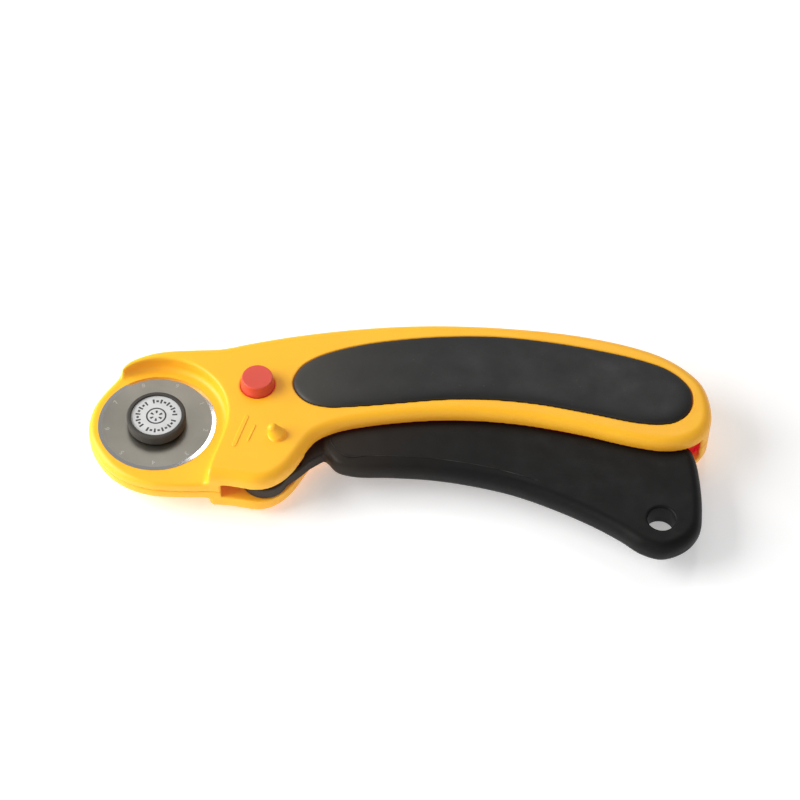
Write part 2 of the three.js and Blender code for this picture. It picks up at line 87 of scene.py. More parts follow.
# ---- sizes from the frame
SHELL_LOW, SHELL_HIGH = node_box("back_shell")[0], node_box("front_shell")[1]
SHELL_HALF = -SHELL_LOW[2]
SEAM = node_box("front_shell")[0][2]
BLADE_LOW, BLADE_HIGH = node_box("blade")
BLADE_R = BLADE_HIGH[0]
CAP_LOW, CAP_HIGH = node_box("bolt_cap")
CAP_R = CAP_HIGH[0]
LABEL_LOW, LABEL_HIGH = node_box("cap_label")
LABEL_R = LABEL_HIGH[0]
LEVER_HALF = node_box("trigger_lever")[1][2]
PAD_LOW, PAD_HIGH = node_box("front_grip")
BUTTON_LOW, BUTTON_HIGH = node_box("lock_button")
REAR_LOW, REAR_HIGH = node_box("lock_button_end")
LOCK = tuple((BUTTON_LOW[:2] + BUTTON_HIGH[:2]) / 2)
NUT_LOW, NUT_HIGH = node_box("blade_nut")
INSERT_LOW, INSERT_HIGH = node_box("nut_insert")
WASHER_HIGH = node_box("spring_washer")[1]
BOLT_LOW, BOLT_HIGH = node_box("blade_bolt")
PIN_LOW, PIN_HIGH = node_box("pivot_pin")
PIVOT = tuple((PIN_LOW[:2] + PIN_HIGH[:2]) / 2)
SCREWS = [node_box(f"shell_screw_{i}") for i in (1, 2, 3, 4)]
SCREW_AT = [tuple((low[:2] + high[:2]) / 2) for low, high in SCREWS]
SQUEEZE = math.radians(next(j for j in frame["joints"] if j["name"] == "trigger_squeeze")["range_deg"][1])

# ---- design sizes shared with the CAD
# Heights of the head's faces and of the hollow's steps, measured from the seam.
HEAD_FRONT = 4.3
HEAD_BACK = 4.9
HEAD_ROOM = 2.5
NECK_ROOM_FRONT = 4.2
NECK_ROOM_BACK = 3.05
LEVER_ROOM = 5.3
DEEP_ROOM = 7.6
PAD_FLOOR = PAD_LOW[2] - 0.15
# Shells.
EDGE_ROUND = 4.0
WALL = 2.6
RECESS_R = 27.0
NOTCH_X = 25.8
HANDLE_ROOM_X = 57.0
PIN_HOLE_R = 2.6
WIDE_HOLE_R = 3.3
# Lever.
LEVER_ROUND = 4.4
NECK_HALF = 2.75
ARM_HALF = 2.2
BOSS_R = 9.0
EYE_R = 8.0
ARM_WIDTH = 13.0
HANG_HOLE = (190.4, -41.8)
HANG_HOLE_R = 5.25
# Blade bolt.
SHOULDER_R = 3.9
THREAD_R = 2.9
BEVEL_WIDTH = 1.4
# Farther than any part reaches.
FAR = 60.0

# Outside of the head and handle, clockwise from the head's left.
SILHOUETTE = [
    (-26.2, -1), (-25, 8.2), (-21.8, 15), (-18.6, 19.9), (-16.2, 23.2), (-12, 27), (-4.2, 30.8),
    (3.5, 32.4), (13, 33.1), (23, 33.8), (34.6, 36.9), (50, 40.5), (70, 44), (92, 46.4), (112.5, 47.1),
    (136, 46.1), (160, 43.3), (181, 38.3), (194.5, 32.8), (203.5, 26.2), (209.5, 18.6), (211.9, 8),
    (211, -0.5), (207.2, -6.4), (201.5, -9.9), (193.5, -11.3), (182, -9.6), (160, -3.7), (137, 0.7),
    (114, 2.2), (92, 0.5), (72.3, -3.3), (64.8, -6.3), (60.8, -9.2), (57.8, -13.5), (55.1, -18.6),
    (52.2, -23.4), (48.3, -27.6), (43.8, -30.3), (38.6, -31.1), (33.6, -30.3), (28.8, -29.5),
    (22, -29.1), (8, -29.2), (-1.5, -28.4), (-9.8, -25.5), (-16.4, -20.9), (-21.3, -14.9), (-25, -7.6),
]
GRIP = [
    (51.6, 16), (54.4, 23.2), (60, 28), (67.6, 31.6), (79, 35.1), (93, 37.7), (110, 39.5), (130, 39.8),
    (150, 37.6), (171, 33.3), (186, 29), (195.3, 24.9), (201, 19.9), (204.2, 14.4), (204.3, 7.5),
    (201.7, 2.4), (196.5, -1.2), (190, -2), (182.4, -1.3), (165, 2.8), (145, 7), (125.6, 8.9),
    (109, 8.5), (91, 6.4), (76, 4.7), (64.5, 4.2), (57.4, 6.4), (53, 11),
]
LEVER_BODY = [
    (62.6, -4), (66, -1), (78, 2.3), (95, 4.5), (110, 5.6), (125, 5.4), (140, 3.6), (155, 0.4),
    (170, -3), (184, -5.6), (194.4, -6.4), (203, -7.2), (205.2, -12.4), (206.4, -24), (206.2, -36.8),
    (204.8, -45.2), (199.7, -52), (190.7, -55.8), (182.8, -53.6), (175, -47.7), (165, -41.2),
    (150.4, -33.6), (135.5, -27.4), (120.4, -23.4), (105.3, -20.9), (90, -20), (75.5, -19.7),
    (68.6, -17.5), (64.6, -12), (62.3, -8),
]
NECK = [
    (38, -13), (52, -4), (64, 0), (68, -6), (68, -14.4), (64, -12.4), (58.8, -16.2), (55, -20.2),
    (50.4, -24.2), (42, -24),
]
# What the lever's neck and its body sweep through as the trigger is squeezed.
NECK_SWEEP = [
    (NOTCH_X, -FAR), (60, -FAR), (60, 8), (50, 6), (40, -4), (31, -12), (NOTCH_X, -20),
]
LEVER_SWEEP = [
    (HANDLE_ROOM_X, -FAR), (HANDLE_ROOM_X, -5), (62, 2), (90, 12), (150, 10), (207.4, -2), (207.4, -5),
    (250, -5), (250, -FAR),
]


# ---- outlines
def smooth_outline(points, per_span=10):
    """A closed curve through the points, a centripetal Catmull-Rom spline."""
    p = np.array(points, float)
    before, after, beyond = np.roll(p, 1, 0), np.roll(p, -1, 0), np.roll(p, -2, 0)
    spans = (p - before, after - p, beyond - after)
    d0, d1, d2 = (np.sqrt(np.linalg.norm(span, axis=1))[:, None] for span in spans)
    t1 = ((p - before) / d0 - (after - before) / (d0 + d1) + (after - p) / d1) * d1
    t2 = ((after - p) / d1 - (beyond - p) / (d1 + d2) + (beyond - after) / d2) * d1
    rows = []
    for step in range(per_span):
        t = step / per_span
        rows.append(
            (2 * t**3 - 3 * t**2 + 1) * p + (t**3 - 2 * t**2 + t) * t1
            + (3 * t**2 - 2 * t**3) * after + (t**3 - t**2) * t2
        )
    return np.stack(rows, 1).reshape(-1, 2)


def polar(centre, radius, angle):
    return (centre[0] + radius * math.cos(angle), centre[1] + radius * math.sin(angle))


def arc(centre, radius, start, end, steps=48):
    return [polar(centre, radius, start + (end - start) * i / steps) for i in range(steps + 1)]


def bezier(a, b, c, d, steps=24):
    """The inner points of a cubic curve from a to d."""
    rows = []
    for i in range(1, steps):
        t = i / steps
        rows.append(tuple(
            (1 - t) ** 3 * p + 3 * t * (1 - t) ** 2 * q + 3 * t * t * (1 - t) * r + t**3 * s
            for p, q, r, s in zip(a, b, c, d)
        ))
    return rows


def recess_outline():
    """The blade's recess: an arc round the axis, then an edge that runs down to the lobe."""
    low, high = math.radians(-12), math.radians(124)
    start = polar((0, 0), RECESS_R, low)
    end = polar((0, 0), RECESS_R, high)
    foot = (21, -29)
    edge = [foot] + bezier(foot, (21.4, -22), (24.6, -14), start)
    exit_y = end[1] + 3
    way_out = [(end[0] - 8, exit_y), (-FAR, exit_y)]
    return [(-FAR, -FAR), (foot[0], -FAR)] + edge + arc((0, 0), RECESS_R, low, high) + way_out


# ---- distance fields
class Grid:
    """Sample points of a field, with even steps in millimetres."""

    def __init__(self, low, high, step):
        self.step = np.array(step if np.ndim(step) else (step,) * 3, float)
        self.low = np.array(low, float) - 2.5 * self.step
        counts = np.ceil((np.array(high, float) - self.low) / self.step + 3.5).astype(int)
        axes = [self.low[i] + self.step[i] * np.arange(counts[i]) for i in range(3)]
        self.x = axes[0][:, None, None].astype(np.float32)
        self.y = axes[1][None, :, None].astype(np.float32)
        self.z = axes[2][None, None, :].astype(np.float32)

    def outline(self, points):
        """Signed distance to a closed outline in the XY plane, negative inside."""
        x, y = np.broadcast_arrays(self.x[:, :, 0], self.y[:, :, 0])
        best = np.full(x.shape, 1e9, np.float32)
        inside = np.zeros(x.shape, bool)
        pts = [tuple(map(float, p)) for p in points]
        for (ax, ay), (bx, by) in zip(pts, pts[1:] + pts[:1]):
            ex, ey = bx - ax, by - ay
            span = ex * ex + ey * ey
            if span < 1e-12:
                continue
            wx, wy = x - ax, y - ay
            t = np.clip((wx * ex + wy * ey) / span, 0, 1)
            np.minimum(best, (wx - t * ex) ** 2 + (wy - t * ey) ** 2, out=best)
            if ay != by:
                inside ^= ((ay > y) != (by > y)) & (x < ex * (y - ay) / ey + ax)
        return (np.where(inside, -1, 1) * np.sqrt(best)).astype(np.float32)[:, :, None]

    def circle(self, centre, radius):
        return np.hypot(self.x - centre[0], self.y - centre[1]) - radius

    def ribbon(self, a, b, half):
        """Signed distance to a straight bar with round ends from a to b."""
        ex, ey = b[0] - a[0], b[1] - a[1]
        wx, wy = self.x - a[0], self.y - a[1]
        t = np.clip((wx * ex + wy * ey) / (ex * ex + ey * ey), 0, 1)
        return np.hypot(wx - t * ex, wy - t * ey) - half

    def arc_slot(self, centre, radius, start, end, half):
        """Signed distance to a slot along an arc, with round ends."""
        middle, spread = (start + end) / 2, abs(end - start) / 2
        angle = np.arctan2(self.y - centre[1], self.x - centre[0]) - middle
        angle = np.clip((angle + math.pi) % (2 * math.pi) - math.pi, -spread, spread) + middle
        near_x, near_y = centre[0] + radius * np.cos(angle), centre[1] + radius * np.sin(angle)
        return np.hypot(self.x - near_x, self.y - near_y) - half

    def slab(self, flat, low, high, round_low=0.0, round_high=0.0):
        """A flat shape given thickness, with rounded lower and upper edges."""
        upper = self.z > (low + high) / 2
        depth = np.where(upper, self.z - high, low - self.z)
        r = np.where(upper, round_high, round_low).astype(np.float32)
        a, b = flat + r, depth + r
        return np.minimum(np.maximum(a, b), 0) + np.hypot(np.maximum(a, 0), np.maximum(b, 0)) - r


def join(a, b, r=0.0):
    """Union with a fillet of radius r in the corner between the two."""
    if r == 0:
        return np.minimum(a, b)
    return np.maximum(r, np.minimum(a, b)) - np.hypot(np.maximum(r - a, 0), np.maximum(r - b, 0))


def keep(a, b, r=0.0):
    """Intersection with its edge rounded to radius r, a number or a field."""
    if np.ndim(r) == 0 and r == 0:
        return np.maximum(a, b)
    return np.minimum(-r, np.maximum(a, b)) + np.hypot(np.maximum(r + a, 0), np.maximum(r + b, 0))


def cut(a, b, r=0.0):
    """a with b taken out, and the new edge rounded to radius r."""
    return keep(a, -b, r)


CORNERS = [(i, j, k) for i in (0, 1) for j in (0, 1) for k in (0, 1)]


def sample(values, cells, local):
    """Trilinear value of a grid at a place inside each cell."""
    total = 0
    for corner in CORNERS:
        weight = np.prod(np.where(corner, local, 1 - local), axis=1)
        total = total + weight * values[tuple((cells + corner).T)]
    return total


def surface(field, grid):
    """Vertices, quads and normals of the field's zero surface, by surface nets."""
    inside = field < 0
    size = np.array(field.shape) - 1
    count = np.zeros(size, np.int8)
    for i, j, k in CORNERS:
        count += inside[i:size[0] + i, j:size[1] + j, k:size[2] + k]
    active = (count > 0) & (count < 8)
    index = np.full(active.shape, -1, np.int64)
    index[active] = np.arange(int(active.sum()))
    cells = np.argwhere(active)
    total, hits = np.zeros((len(cells), 3)), np.zeros(len(cells))
    for corner in CORNERS:
        for axis in range(3):
            if corner[axis]:
                continue
            other = list(corner)
            other[axis] = 1
            a = field[tuple((cells + corner).T)].astype(float)
            b = field[tuple((cells + other).T)].astype(float)
            crossing = (a < 0) != (b < 0)
            point = np.tile(np.array(corner, float), (len(cells), 1))
            point[:, axis] = a / np.where(crossing, a - b, 1)
            total[crossing] += point[crossing]
            hits[crossing] += 1
    local = total / hits[:, None]
    slopes = np.gradient(field, *grid.step.astype(np.float32))
    normals = np.stack([sample(slope, cells, local) for slope in slopes], 1)
    length = np.linalg.norm(normals, axis=1)[:, None]
    normals /= np.maximum(length, 1e-6)
    value = sample(field, cells, local)[:, None]
    place = grid.low + (cells + local) * grid.step
    place -= normals * np.clip(value / np.maximum(length, 0.3), -0.25, 0.25) * grid.step.min()
    quads = []
    for axis in range(3):
        b, c = (axis + 1) % 3, (axis + 2) % 3
        lower = np.take(inside, range(size[axis]), axis)
        upper = np.take(inside, range(1, size[axis] + 1), axis)
        edges = np.argwhere(lower != upper)
        at_b, at_c = edges[:, b], edges[:, c]
        edges = edges[(at_b > 0) & (at_c > 0) & (at_b < size[b]) & (at_c < size[c])]
        step_b, step_c = np.eye(3, dtype=int)[b], np.eye(3, dtype=int)[c]
        ring = [edges, edges - step_b, edges - step_b - step_c, edges - step_c]
        quad = np.stack([index[tuple(e.T)] for e in ring], 1)
        flip = ~lower[tuple(edges.T)]
        quad[flip] = quad[flip][:, ::-1]
        quads.append(quad)
    return place, np.concatenate(quads), normals


# ---- meshes
def add_object(name, data):
    obj = bpy.data.objects.new(name, data)
    bpy.context.scene.collection.objects.link(obj)
    return obj


def place_piece(name, mesh, body, nodes, finish):
    """A piece that rides on a body and stands for CAD nodes. A finish is a material and its slot."""
    material, slot = finish
    mesh.materials.append(material)
    obj = add_object(name, mesh)
    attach(obj, body)
    if nodes:
        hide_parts(*nodes)
    return obj


def to_mesh(name, verts, faces, body, nodes, finish, normals=None):
    """A smooth-shaded piece, moved into the frame and scaled to metres."""
    mesh = bpy.data.meshes.new(name)
    places = (np.asarray(verts, float) + ORIGIN) * MM
    mesh.from_pydata(places.tolist(), [], [tuple(face) for face in faces])
    mesh.validate()
    mesh.shade_smooth()
    if normals is not None:
        mesh.normals_split_custom_set_from_vertices(normals.tolist())
    return place_piece(name, mesh, body, nodes, finish)


def moulded(name, field, grid, body, nodes, finish, mirror=False):
    """A piece meshed from a distance field; mirror turns a front half into a back half."""
    verts, faces, normals = surface(field, grid)
    if mirror:
        verts[:, 2] *= -1
        normals[:, 2] *= -1
        faces = faces[:, ::-1]
    to_mesh(name, verts, faces, body, nodes, finish, normals)


def rounded_profile(points, steps=4):
    """A lathe profile with each inner corner rounded to its third value. The end points stay sharp."""
    pts = [np.array(p[:2], float) for p in points]
    out = [pts[0]]
    for i in range(1, len(pts) - 1):
        a, b = pts[i - 1] - pts[i], pts[i + 1] - pts[i]
        la, lb = np.linalg.norm(a), np.linalg.norm(b)
        a, b = a / la, b / lb
        half = math.acos(float(np.clip(a @ b, -1, 1))) / 2
        nearly_straight = half > 1.5
        reach = 0 if nearly_straight else min(points[i][2] / math.tan(half), la * 0.48, lb * 0.48)
        if reach < 1e-4:
            out.append(pts[i])
            continue
        start, end = pts[i] + a * reach, pts[i] + b * reach
        for s in range(steps + 1):
            t = s / steps
            out.append((1 - t) ** 2 * start + 2 * t * (1 - t) * pts[i] + t * t * end)
    out.append(pts[-1])
    return np.array(out)


def lathe(
    name, profile, centre, body, nodes, finish, segments=160, closed=False, bend=None, sharp=40,
):
    """A turned piece. The profile holds radius, z and rounding, and runs from low z outwards and up.

    A closed profile joins its last point to its first. bend adds to z, by x and y. sharp is the angle in
    degrees above which an edge isn't shaded smooth.
    """
    loop = rounded_profile(profile + profile[:1])[:-1] if closed else rounded_profile(profile)
    turn = np.arange(segments) * 2 * math.pi / segments
    verts, rings, faces = [], [], []
    for r, z in loop:
        if r < 1e-6:
            rings.append([len(verts)] * segments)
            verts.append((centre[0], centre[1], z))
        else:
            rings.append(range(len(verts), len(verts) + segments))
            verts += [(centre[0] + r * math.cos(a), centre[1] + r * math.sin(a), z) for a in turn]
    pairs = list(zip(rings, rings[1:] + rings[:1]))
    for lower, upper in pairs if closed else pairs[:-1]:
        for s in range(segments):
            n = (s + 1) % segments
            faces.append(tuple(dict.fromkeys((lower[s], lower[n], upper[n], upper[s]))))
    verts = np.array(verts)
    if bend:
        verts[:, 2] += bend(verts[:, 0], verts[:, 1])
    piece = to_mesh(name, verts, faces, body, nodes, finish)
    piece.data.set_sharp_from_angle(angle=math.radians(sharp))


def curve_mesh(curve):
    """The mesh that a curve or a text makes."""
    obj = add_object("curve", curve)
    graph = bpy.context.evaluated_depsgraph_get()
    mesh = bpy.data.meshes.new_from_object(obj.evaluated_get(graph))
    bpy.data.objects.remove(obj)
    return mesh


def wire(name, points, radius, body, nodes, finish):
    """A round wire along a smooth path, as a closed mesh."""
    curve = bpy.data.curves.new(name, "CURVE")
    curve.dimensions = "3D"
    curve.bevel_depth = radius * MM
    curve.bevel_resolution = 4
    curve.use_fill_caps = True
    spline = curve.splines.new("POLY")
    spline.points.add(len(points) - 1)
    for place, point in zip(spline.points, points):
        place.co = (*((np.array(point) + ORIGIN) * MM), 1)
    mesh = curve_mesh(curve)
    mesh.name = name
    mesh.shade_smooth()
    mesh.materials.clear()
    place_piece(name, mesh, body, nodes, finish)


# ---- materials
class Nodes:
    """Short way to write a node tree: each call adds a node and returns its first output."""

    def __init__(self, name, data=bpy.data.materials, shader="Principled BSDF"):
        self.owner = data.new(name)
        self.owner.use_nodes = True
        self.tree = self.owner.node_tree
        self.shader = self.tree.nodes[shader]

    def put(self, socket, value):
        if isinstance(value, bpy.types.NodeSocket):
            self.tree.links.new(value, socket)
        else:
            socket.default_value = value

    def add(self, kind, inputs=None, output=0, **settings):
        node = self.tree.nodes.new(kind)
        for key, value in settings.items():
            setattr(node, key, value)
        for key, value in (inputs or {}).items():
            self.put(node.inputs[key], value)
        return node.outputs[output]

    def place(self):
        return self.add("ShaderNodeTexCoord", output="Object")

    def coordinate(self, axis):
        return self.add("ShaderNodeSeparateXYZ", {0: self.place()}, axis)

    def towards_head(self, start, end):
        """0 at the frame's X = start, rising as a square to 1 at X = end."""
        ramp = self.remap(self.coordinate(0), start, end)
        return self.times(ramp, ramp)

    def noise(self, scale, detail=4.0, rough=0.55, vector=None):
        ins = {"Vector": vector or self.place(), "Scale": scale, "Detail": detail, "Roughness": rough}
        return self.add("ShaderNodeTexNoise", ins)

    def math(self, operation, a, b=0.0):
        return self.add("ShaderNodeMath", {0: a, 1: b}, operation=operation)

    def times(self, a, b):
        return self.math("MULTIPLY", a, b)

    def remap(self, value, low, high, to_low=0.0, to_high=1.0):
        ins = {"Value": value, "From Min": low, "From Max": high, "To Min": to_low, "To Max": to_high}
        return self.add("ShaderNodeMapRange", ins)

    def mix(self, factor, a, b):
        """A mix of two colours; 6, 7 and 2 are the sockets that the node uses for colours."""
        return self.add("ShaderNodeMix", {"Factor": factor, 6: a, 7: b}, 2, data_type="RGBA")

    def cloud(self, scale, detail, dark, light, rough=0.55):
        """A colour that drifts between two."""
        return self.mix(self.remap(self.noise(scale, detail, rough), 0.3, 0.7), dark, light)

    def bump(self, height, strength, distance):
        ins = {"Height": height, "Strength": strength, "Distance": distance}
        return self.add("ShaderNodeBump", ins)

    def set(self, **values):
        for key, value in values.items():
            self.put(self.shader.inputs[key.replace("_", " ")], value)
        return self.owner


def rgb(red, green, blue):
    return (red, green, blue, 1.0)


def edge_wear(n, low=0.53, high=0.6):
    """1 on convex edges and 0 on flats, from the surface's pointiness."""
    pointy = n.add("ShaderNodeNewGeometry", output="Pointiness")
    return n.remap(pointy, low, high)


def shell_plastic():
    n = Nodes("yellow_shell_plastic")
    colour = n.mix(n.remap(n.noise(28, 3), 0.35, 0.7), rgb(0.97, 0.535, 0.006), rgb(0.98, 0.565, 0.009))
    colour = n.mix(n.times(edge_wear(n), 0.18), colour, rgb(1.0, 0.66, 0.12))
    grime = n.times(n.remap(n.noise(160, 6, 0.7), 0.62, 0.8), 0.1)
    colour = n.mix(grime, colour, rgb(0.6, 0.31, 0.03))
    rough = n.remap(n.noise(70, 5), 0.3, 0.75, 0.36, 0.5)
    bump = n.bump(n.math("ADD", n.noise(900, 2), n.times(n.noise(240, 3), 0.6)), 0.12, 0.00012)
    # Painted light: a faint red glow lifts the red in the shell's shaded faces, so that its shade reads
    # orange.
    return n.set(
        Base_Color=colour, Roughness=rough, Normal=bump, Subsurface_Weight=0.08,
        Subsurface_Radius=(0.004, 0.0016, 0.0003), Subsurface_Scale=0.35, Specular_IOR_Level=0.42,
        Emission_Color=rgb(1.0, 0.0, 0.1), Emission_Strength=0.11,
    )


def grip_rubber():
    n = Nodes("charcoal_grip_rubber")
    colour = n.cloud(40, 4, rgb(0.0085, 0.0083, 0.008), rgb(0.0115, 0.0112, 0.0108))
    # Painted highlight: the pads turn paler towards the head's end, where the light from the upper left
    # falls on them.
    colour = n.mix(n.towards_head(0.02, -0.035), colour, rgb(0.042, 0.039, 0.033))
    dust = n.remap(n.noise(1400, 2, 0.5), 0.72, 0.8)
    colour = n.mix(n.times(dust, 0.35), colour, rgb(0.2, 0.2, 0.19))
    rough = n.remap(n.noise(90, 5), 0.3, 0.7, 0.42, 0.58)
    grain = n.add("ShaderNodeTexVoronoi", {"Vector": n.place(), "Scale": 2400.0})
    bump = n.bump(n.math("ADD", grain, n.noise(600, 3)), 0.2, 0.00008)
    return n.set(Base_Color=colour, Roughness=rough, Normal=bump, Specular_IOR_Level=0.45)


def scratches(n, scale, turn):
    """Thin stray scratches: stretched noise kept only where it crosses its middle value."""
    turned = n.add("ShaderNodeMapping", {
        "Vector": n.place(), "Location": (turn, 0.3, 0),
        "Rotation": (0.0, 0.0, turn), "Scale": (1.0, 14.0, 1.0),
    })
    line = n.math("ABSOLUTE", n.math("SUBTRACT", n.noise(scale, 2, 0.5, turned), 0.5))
    thin = n.remap(line, 0.0, 0.006, 1.0, 0.0)
    patch = n.remap(n.noise(22, 2), 0.54, 0.74)
    return n.times(thin, patch)


def lever_plastic():
    n = Nodes("black_lever_nylon")
    colour = n.cloud(35, 5, rgb(0.0038, 0.0037, 0.0036), rgb(0.0055, 0.0054, 0.0052), 0.6)
    # Painted light: the lever turns paler brown-grey towards the head, standing in for light that the yellow
    # shell throws on the neck and boss.
    colour = n.mix(n.towards_head(0.03, -0.045), colour, rgb(0.045, 0.033, 0.024))
    marks = n.math("MAXIMUM", scratches(n, 60, 0.35), scratches(n, 45, 1.9))
    dust = n.remap(n.noise(1500, 2, 0.5), 0.73, 0.8)
    pale = n.math("MAXIMUM", n.times(marks, 0.08), n.times(dust, 0.25))
    colour = n.mix(pale, colour, rgb(0.12, 0.12, 0.11))
    rough = n.remap(n.noise(120, 5), 0.3, 0.7, 0.42, 0.56)
    bump = n.bump(n.math("ADD", n.noise(1100, 3), n.times(marks, -0.1)), 0.22, 0.0001)
    return n.set(Base_Color=colour, Roughness=rough, Normal=bump, Specular_IOR_Level=0.2)


def bead_plastic():
    """The lever's nylon made paler for the crease's bead, a painted highlight line along the crease."""
    n = Nodes("lever_nylon_crease_highlight")
    highlight_share = n.remap(n.noise(90, 3), 0.4, 0.65)
    # Painted highlight: the bead drifts from black to pale grey, standing in for the light line along the
    # crease.
    colour = n.mix(highlight_share, rgb(0.006, 0.006, 0.0057), rgb(0.05, 0.05, 0.047))
    rough = n.remap(n.noise(300, 3), 0.3, 0.7, 0.4, 0.55)
    bump = n.bump(n.noise(1500, 2), 0.1, 0.00003)
    return n.set(Base_Color=colour, Roughness=rough, Normal=bump, Specular_IOR_Level=0.25)


def ring_radius(n):
    """Distance from the blade's axis and angle round it, in metres and radians."""
    x, y = (n.math("SUBTRACT", n.coordinate(axis), ORIGIN[axis] * MM) for axis in (0, 1))
    square = n.math("ADD", n.times(x, x), n.times(y, y))
    return n.math("SQRT", square), n.math("ARCTAN2", y, x)


def blade_steel():
    n = Nodes("ground_blade_steel")
    radius, angle = ring_radius(n)
    bevel_r, blur = (BLADE_R - BEVEL_WIDTH) * MM, 0.00002
    bevel = n.remap(radius, bevel_r - blur, bevel_r + blur)
    stretched = {0: n.times(radius, 5200.0), 1: n.times(angle, 1.2)}
    rings = n.noise(1.0, 3, 0.6, n.add("ShaderNodeCombineXYZ", stretched))
    colour = n.cloud(55, 4, rgb(0.305, 0.286, 0.246), rgb(0.365, 0.343, 0.295))
    colour = n.mix(bevel, colour, rgb(0.86, 0.86, 0.84))
    rough = n.mix(bevel, n.remap(rings, 0.3, 0.7, 0.28, 0.38), rgb(0.16, 0.16, 0.16))
    height = n.times(rings, n.math("SUBTRACT", 1.0, bevel))
    bump = n.bump(height, 0.08, 0.00003)
    return n.set(Base_Color=colour, Metallic=1.0, Roughness=rough, Normal=bump, Anisotropic=0.35)


def metal(name, colour, roughness, scale=400.0):
    n = Nodes(name)
    cloud = n.noise(scale, 4)
    dark = rgb(*(c * 0.82 for c in colour))
    drift = n.mix(n.remap(cloud, 0.3, 0.7), dark, rgb(*colour))
    rough = n.remap(cloud, 0.3, 0.7, roughness * 0.8, roughness * 1.25)
    bump = n.bump(n.noise(scale * 4, 3), 0.1, 0.00004)
    return n.set(Base_Color=drift, Metallic=1.0, Roughness=rough, Normal=bump)


def cap_plastic():
    n = Nodes("dark_cap_plastic")
    colour = n.cloud(120, 4, rgb(0.064, 0.060, 0.053), rgb(0.080, 0.075, 0.067))
    colour = n.mix(n.times(edge_wear(n), 0.4), colour, rgb(0.1, 0.1, 0.095))
    bump = n.bump(n.noise(1600, 3), 0.15, 0.00006)
    rough = n.remap(n.noise(200, 4), 0.3, 0.7, 0.38, 0.52)
    return n.set(Base_Color=colour, Roughness=rough, Normal=bump, Specular_IOR_Level=0.04)


def label_film():
    n = Nodes("label_film")
    colour = n.mix(n.remap(n.noise(300, 5), 0.35, 0.7), rgb(0.62, 0.62, 0.61), rgb(0.69, 0.69, 0.68))
    bump = n.bump(n.noise(2200, 3), 0.12, 0.00004)
    rough = n.remap(n.noise(260, 4), 0.3, 0.7, 0.36, 0.5)
    return n.set(Base_Color=colour, Roughness=rough, Normal=bump)


def label_ink():
    n = Nodes("label_ink")
    colour = n.cloud(900, 4, rgb(0.03, 0.03, 0.03), rgb(0.06, 0.06, 0.058))
    return n.set(Base_Color=colour, Roughness=0.5, Normal=n.bump(n.noise(2500, 2), 0.1, 0.00003))


def red_plastic():
    n = Nodes("red_button_plastic")
    colour = n.cloud(90, 4, rgb(0.70, 0.075, 0.045), rgb(0.76, 0.085, 0.05))
    colour = n.mix(n.times(edge_wear(n, 0.52, 0.58), 0.3), colour, rgb(0.9, 0.2, 0.15))
    rough = n.remap(n.noise(180, 5), 0.3, 0.75, 0.3, 0.5)
    bump = n.bump(n.noise(1300, 3), 0.12, 0.00006)
    return n.set(
        Base_Color=colour, Roughness=rough, Normal=bump, Subsurface_Weight=0.1,
        Subsurface_Radius=(0.003, 0.0005, 0.0003), Subsurface_Scale=0.3,
    )


# Each finish is a material and a slot name.
YELLOW = (shell_plastic(), "shell_plastic")
RUBBER = (grip_rubber(), "grip_rubber")
BLACK = (lever_plastic(), "lever_plastic")
BEAD = (bead_plastic(), "lever_plastic")
STEEL = (blade_steel(), "blade_steel")
ETCH = (metal("etched_steel", (0.62, 0.61, 0.57), 0.5), "blade_steel")
CAP = (cap_plastic(), "cap_plastic")
FILM = (label_film(), "label_film")
INK = (label_ink(), "label_film")
RED = (red_plastic(), "button_plastic")
ZINC = (metal("zinc_plated_steel", (0.55, 0.55, 0.53), 0.3), "fastener_steel")
SPRING = (metal("drawn_spring_wire", (0.36, 0.36, 0.37), 0.25, 700), "spring_steel")
BRASS = (metal("turned_brass", (0.62, 0.43, 0.18), 0.28), "brass_insert")

# ---- handle shells
ARM_LENGTH = math.hypot(*PIVOT)
ARM_ANGLE = math.atan2(-PIVOT[1], -PIVOT[0])
LOCK_RADIUS = math.dist(LOCK, PIVOT)
LOCK_ANGLE = math.atan2(LOCK[1] - PIVOT[1], LOCK[0] - PIVOT[0])
LEG_R = 13.0
LEG_ANGLE = math.radians(28)
ANCHOR_ANGLE = math.radians(150)
SHELL_STEP = (0.55, 0.55, 0.45)
CUT_ROUND = 0.35
# How much farther in from WALL the deepest room's side stands, and the rounding of its top edge.
DEEP_INSET = 0.8
POST_R = 3.5
PIN_HOLE_TOP = 7.9
# The recess wall's top edge is sharper at the right than at the head's left.
EDGE_RIGHT, EDGE_LEFT = 1.2, 2.7
EDGE_BLEND = (2, -20)
PILOT_R, PILOT_TOP = 1.5, 5.4
COIL_ROOM_R, COIL_ROOM_TOP = (3.7, 5.7), 7.7
GROOVE_START, GROOVE_HALF = 5, 1.3
ANCHOR_END, ANCHOR_TOP = 11.2, 7.75
LEG_END, LEG_TOP = 13.2, 4.8
COLLAR_HOLE_R, LOCK_SEAT = 6.7, 5.4
CLIP_X, CLIP_HALF, CLIP_TOP = -1.1, (6.3, 4.8), 4.2
SCREW_HOLE_R, SCREW_SINK_R, SCREW_SEAT = 1.6, 2.6, 7.5
REAR_HOLE_R, REAR_SEAT, STEM_HOLE_R = 6.1, 6.8, 3.8
# The peg's two rounding centres: x, y, z and radius.
NUB_FOOT = (46.5, -9.6, SHELL_HALF + 0.2, 3.3)
NUB_TOP = (44.9, -9.0, SHELL_HALF + 3.1, 2.0)
RAISED_BARS = [((30.5, -14.6), (34.5, -1.4), 0.9), ((35.6, -12.6), (37.9, -5.5), 0.45)]


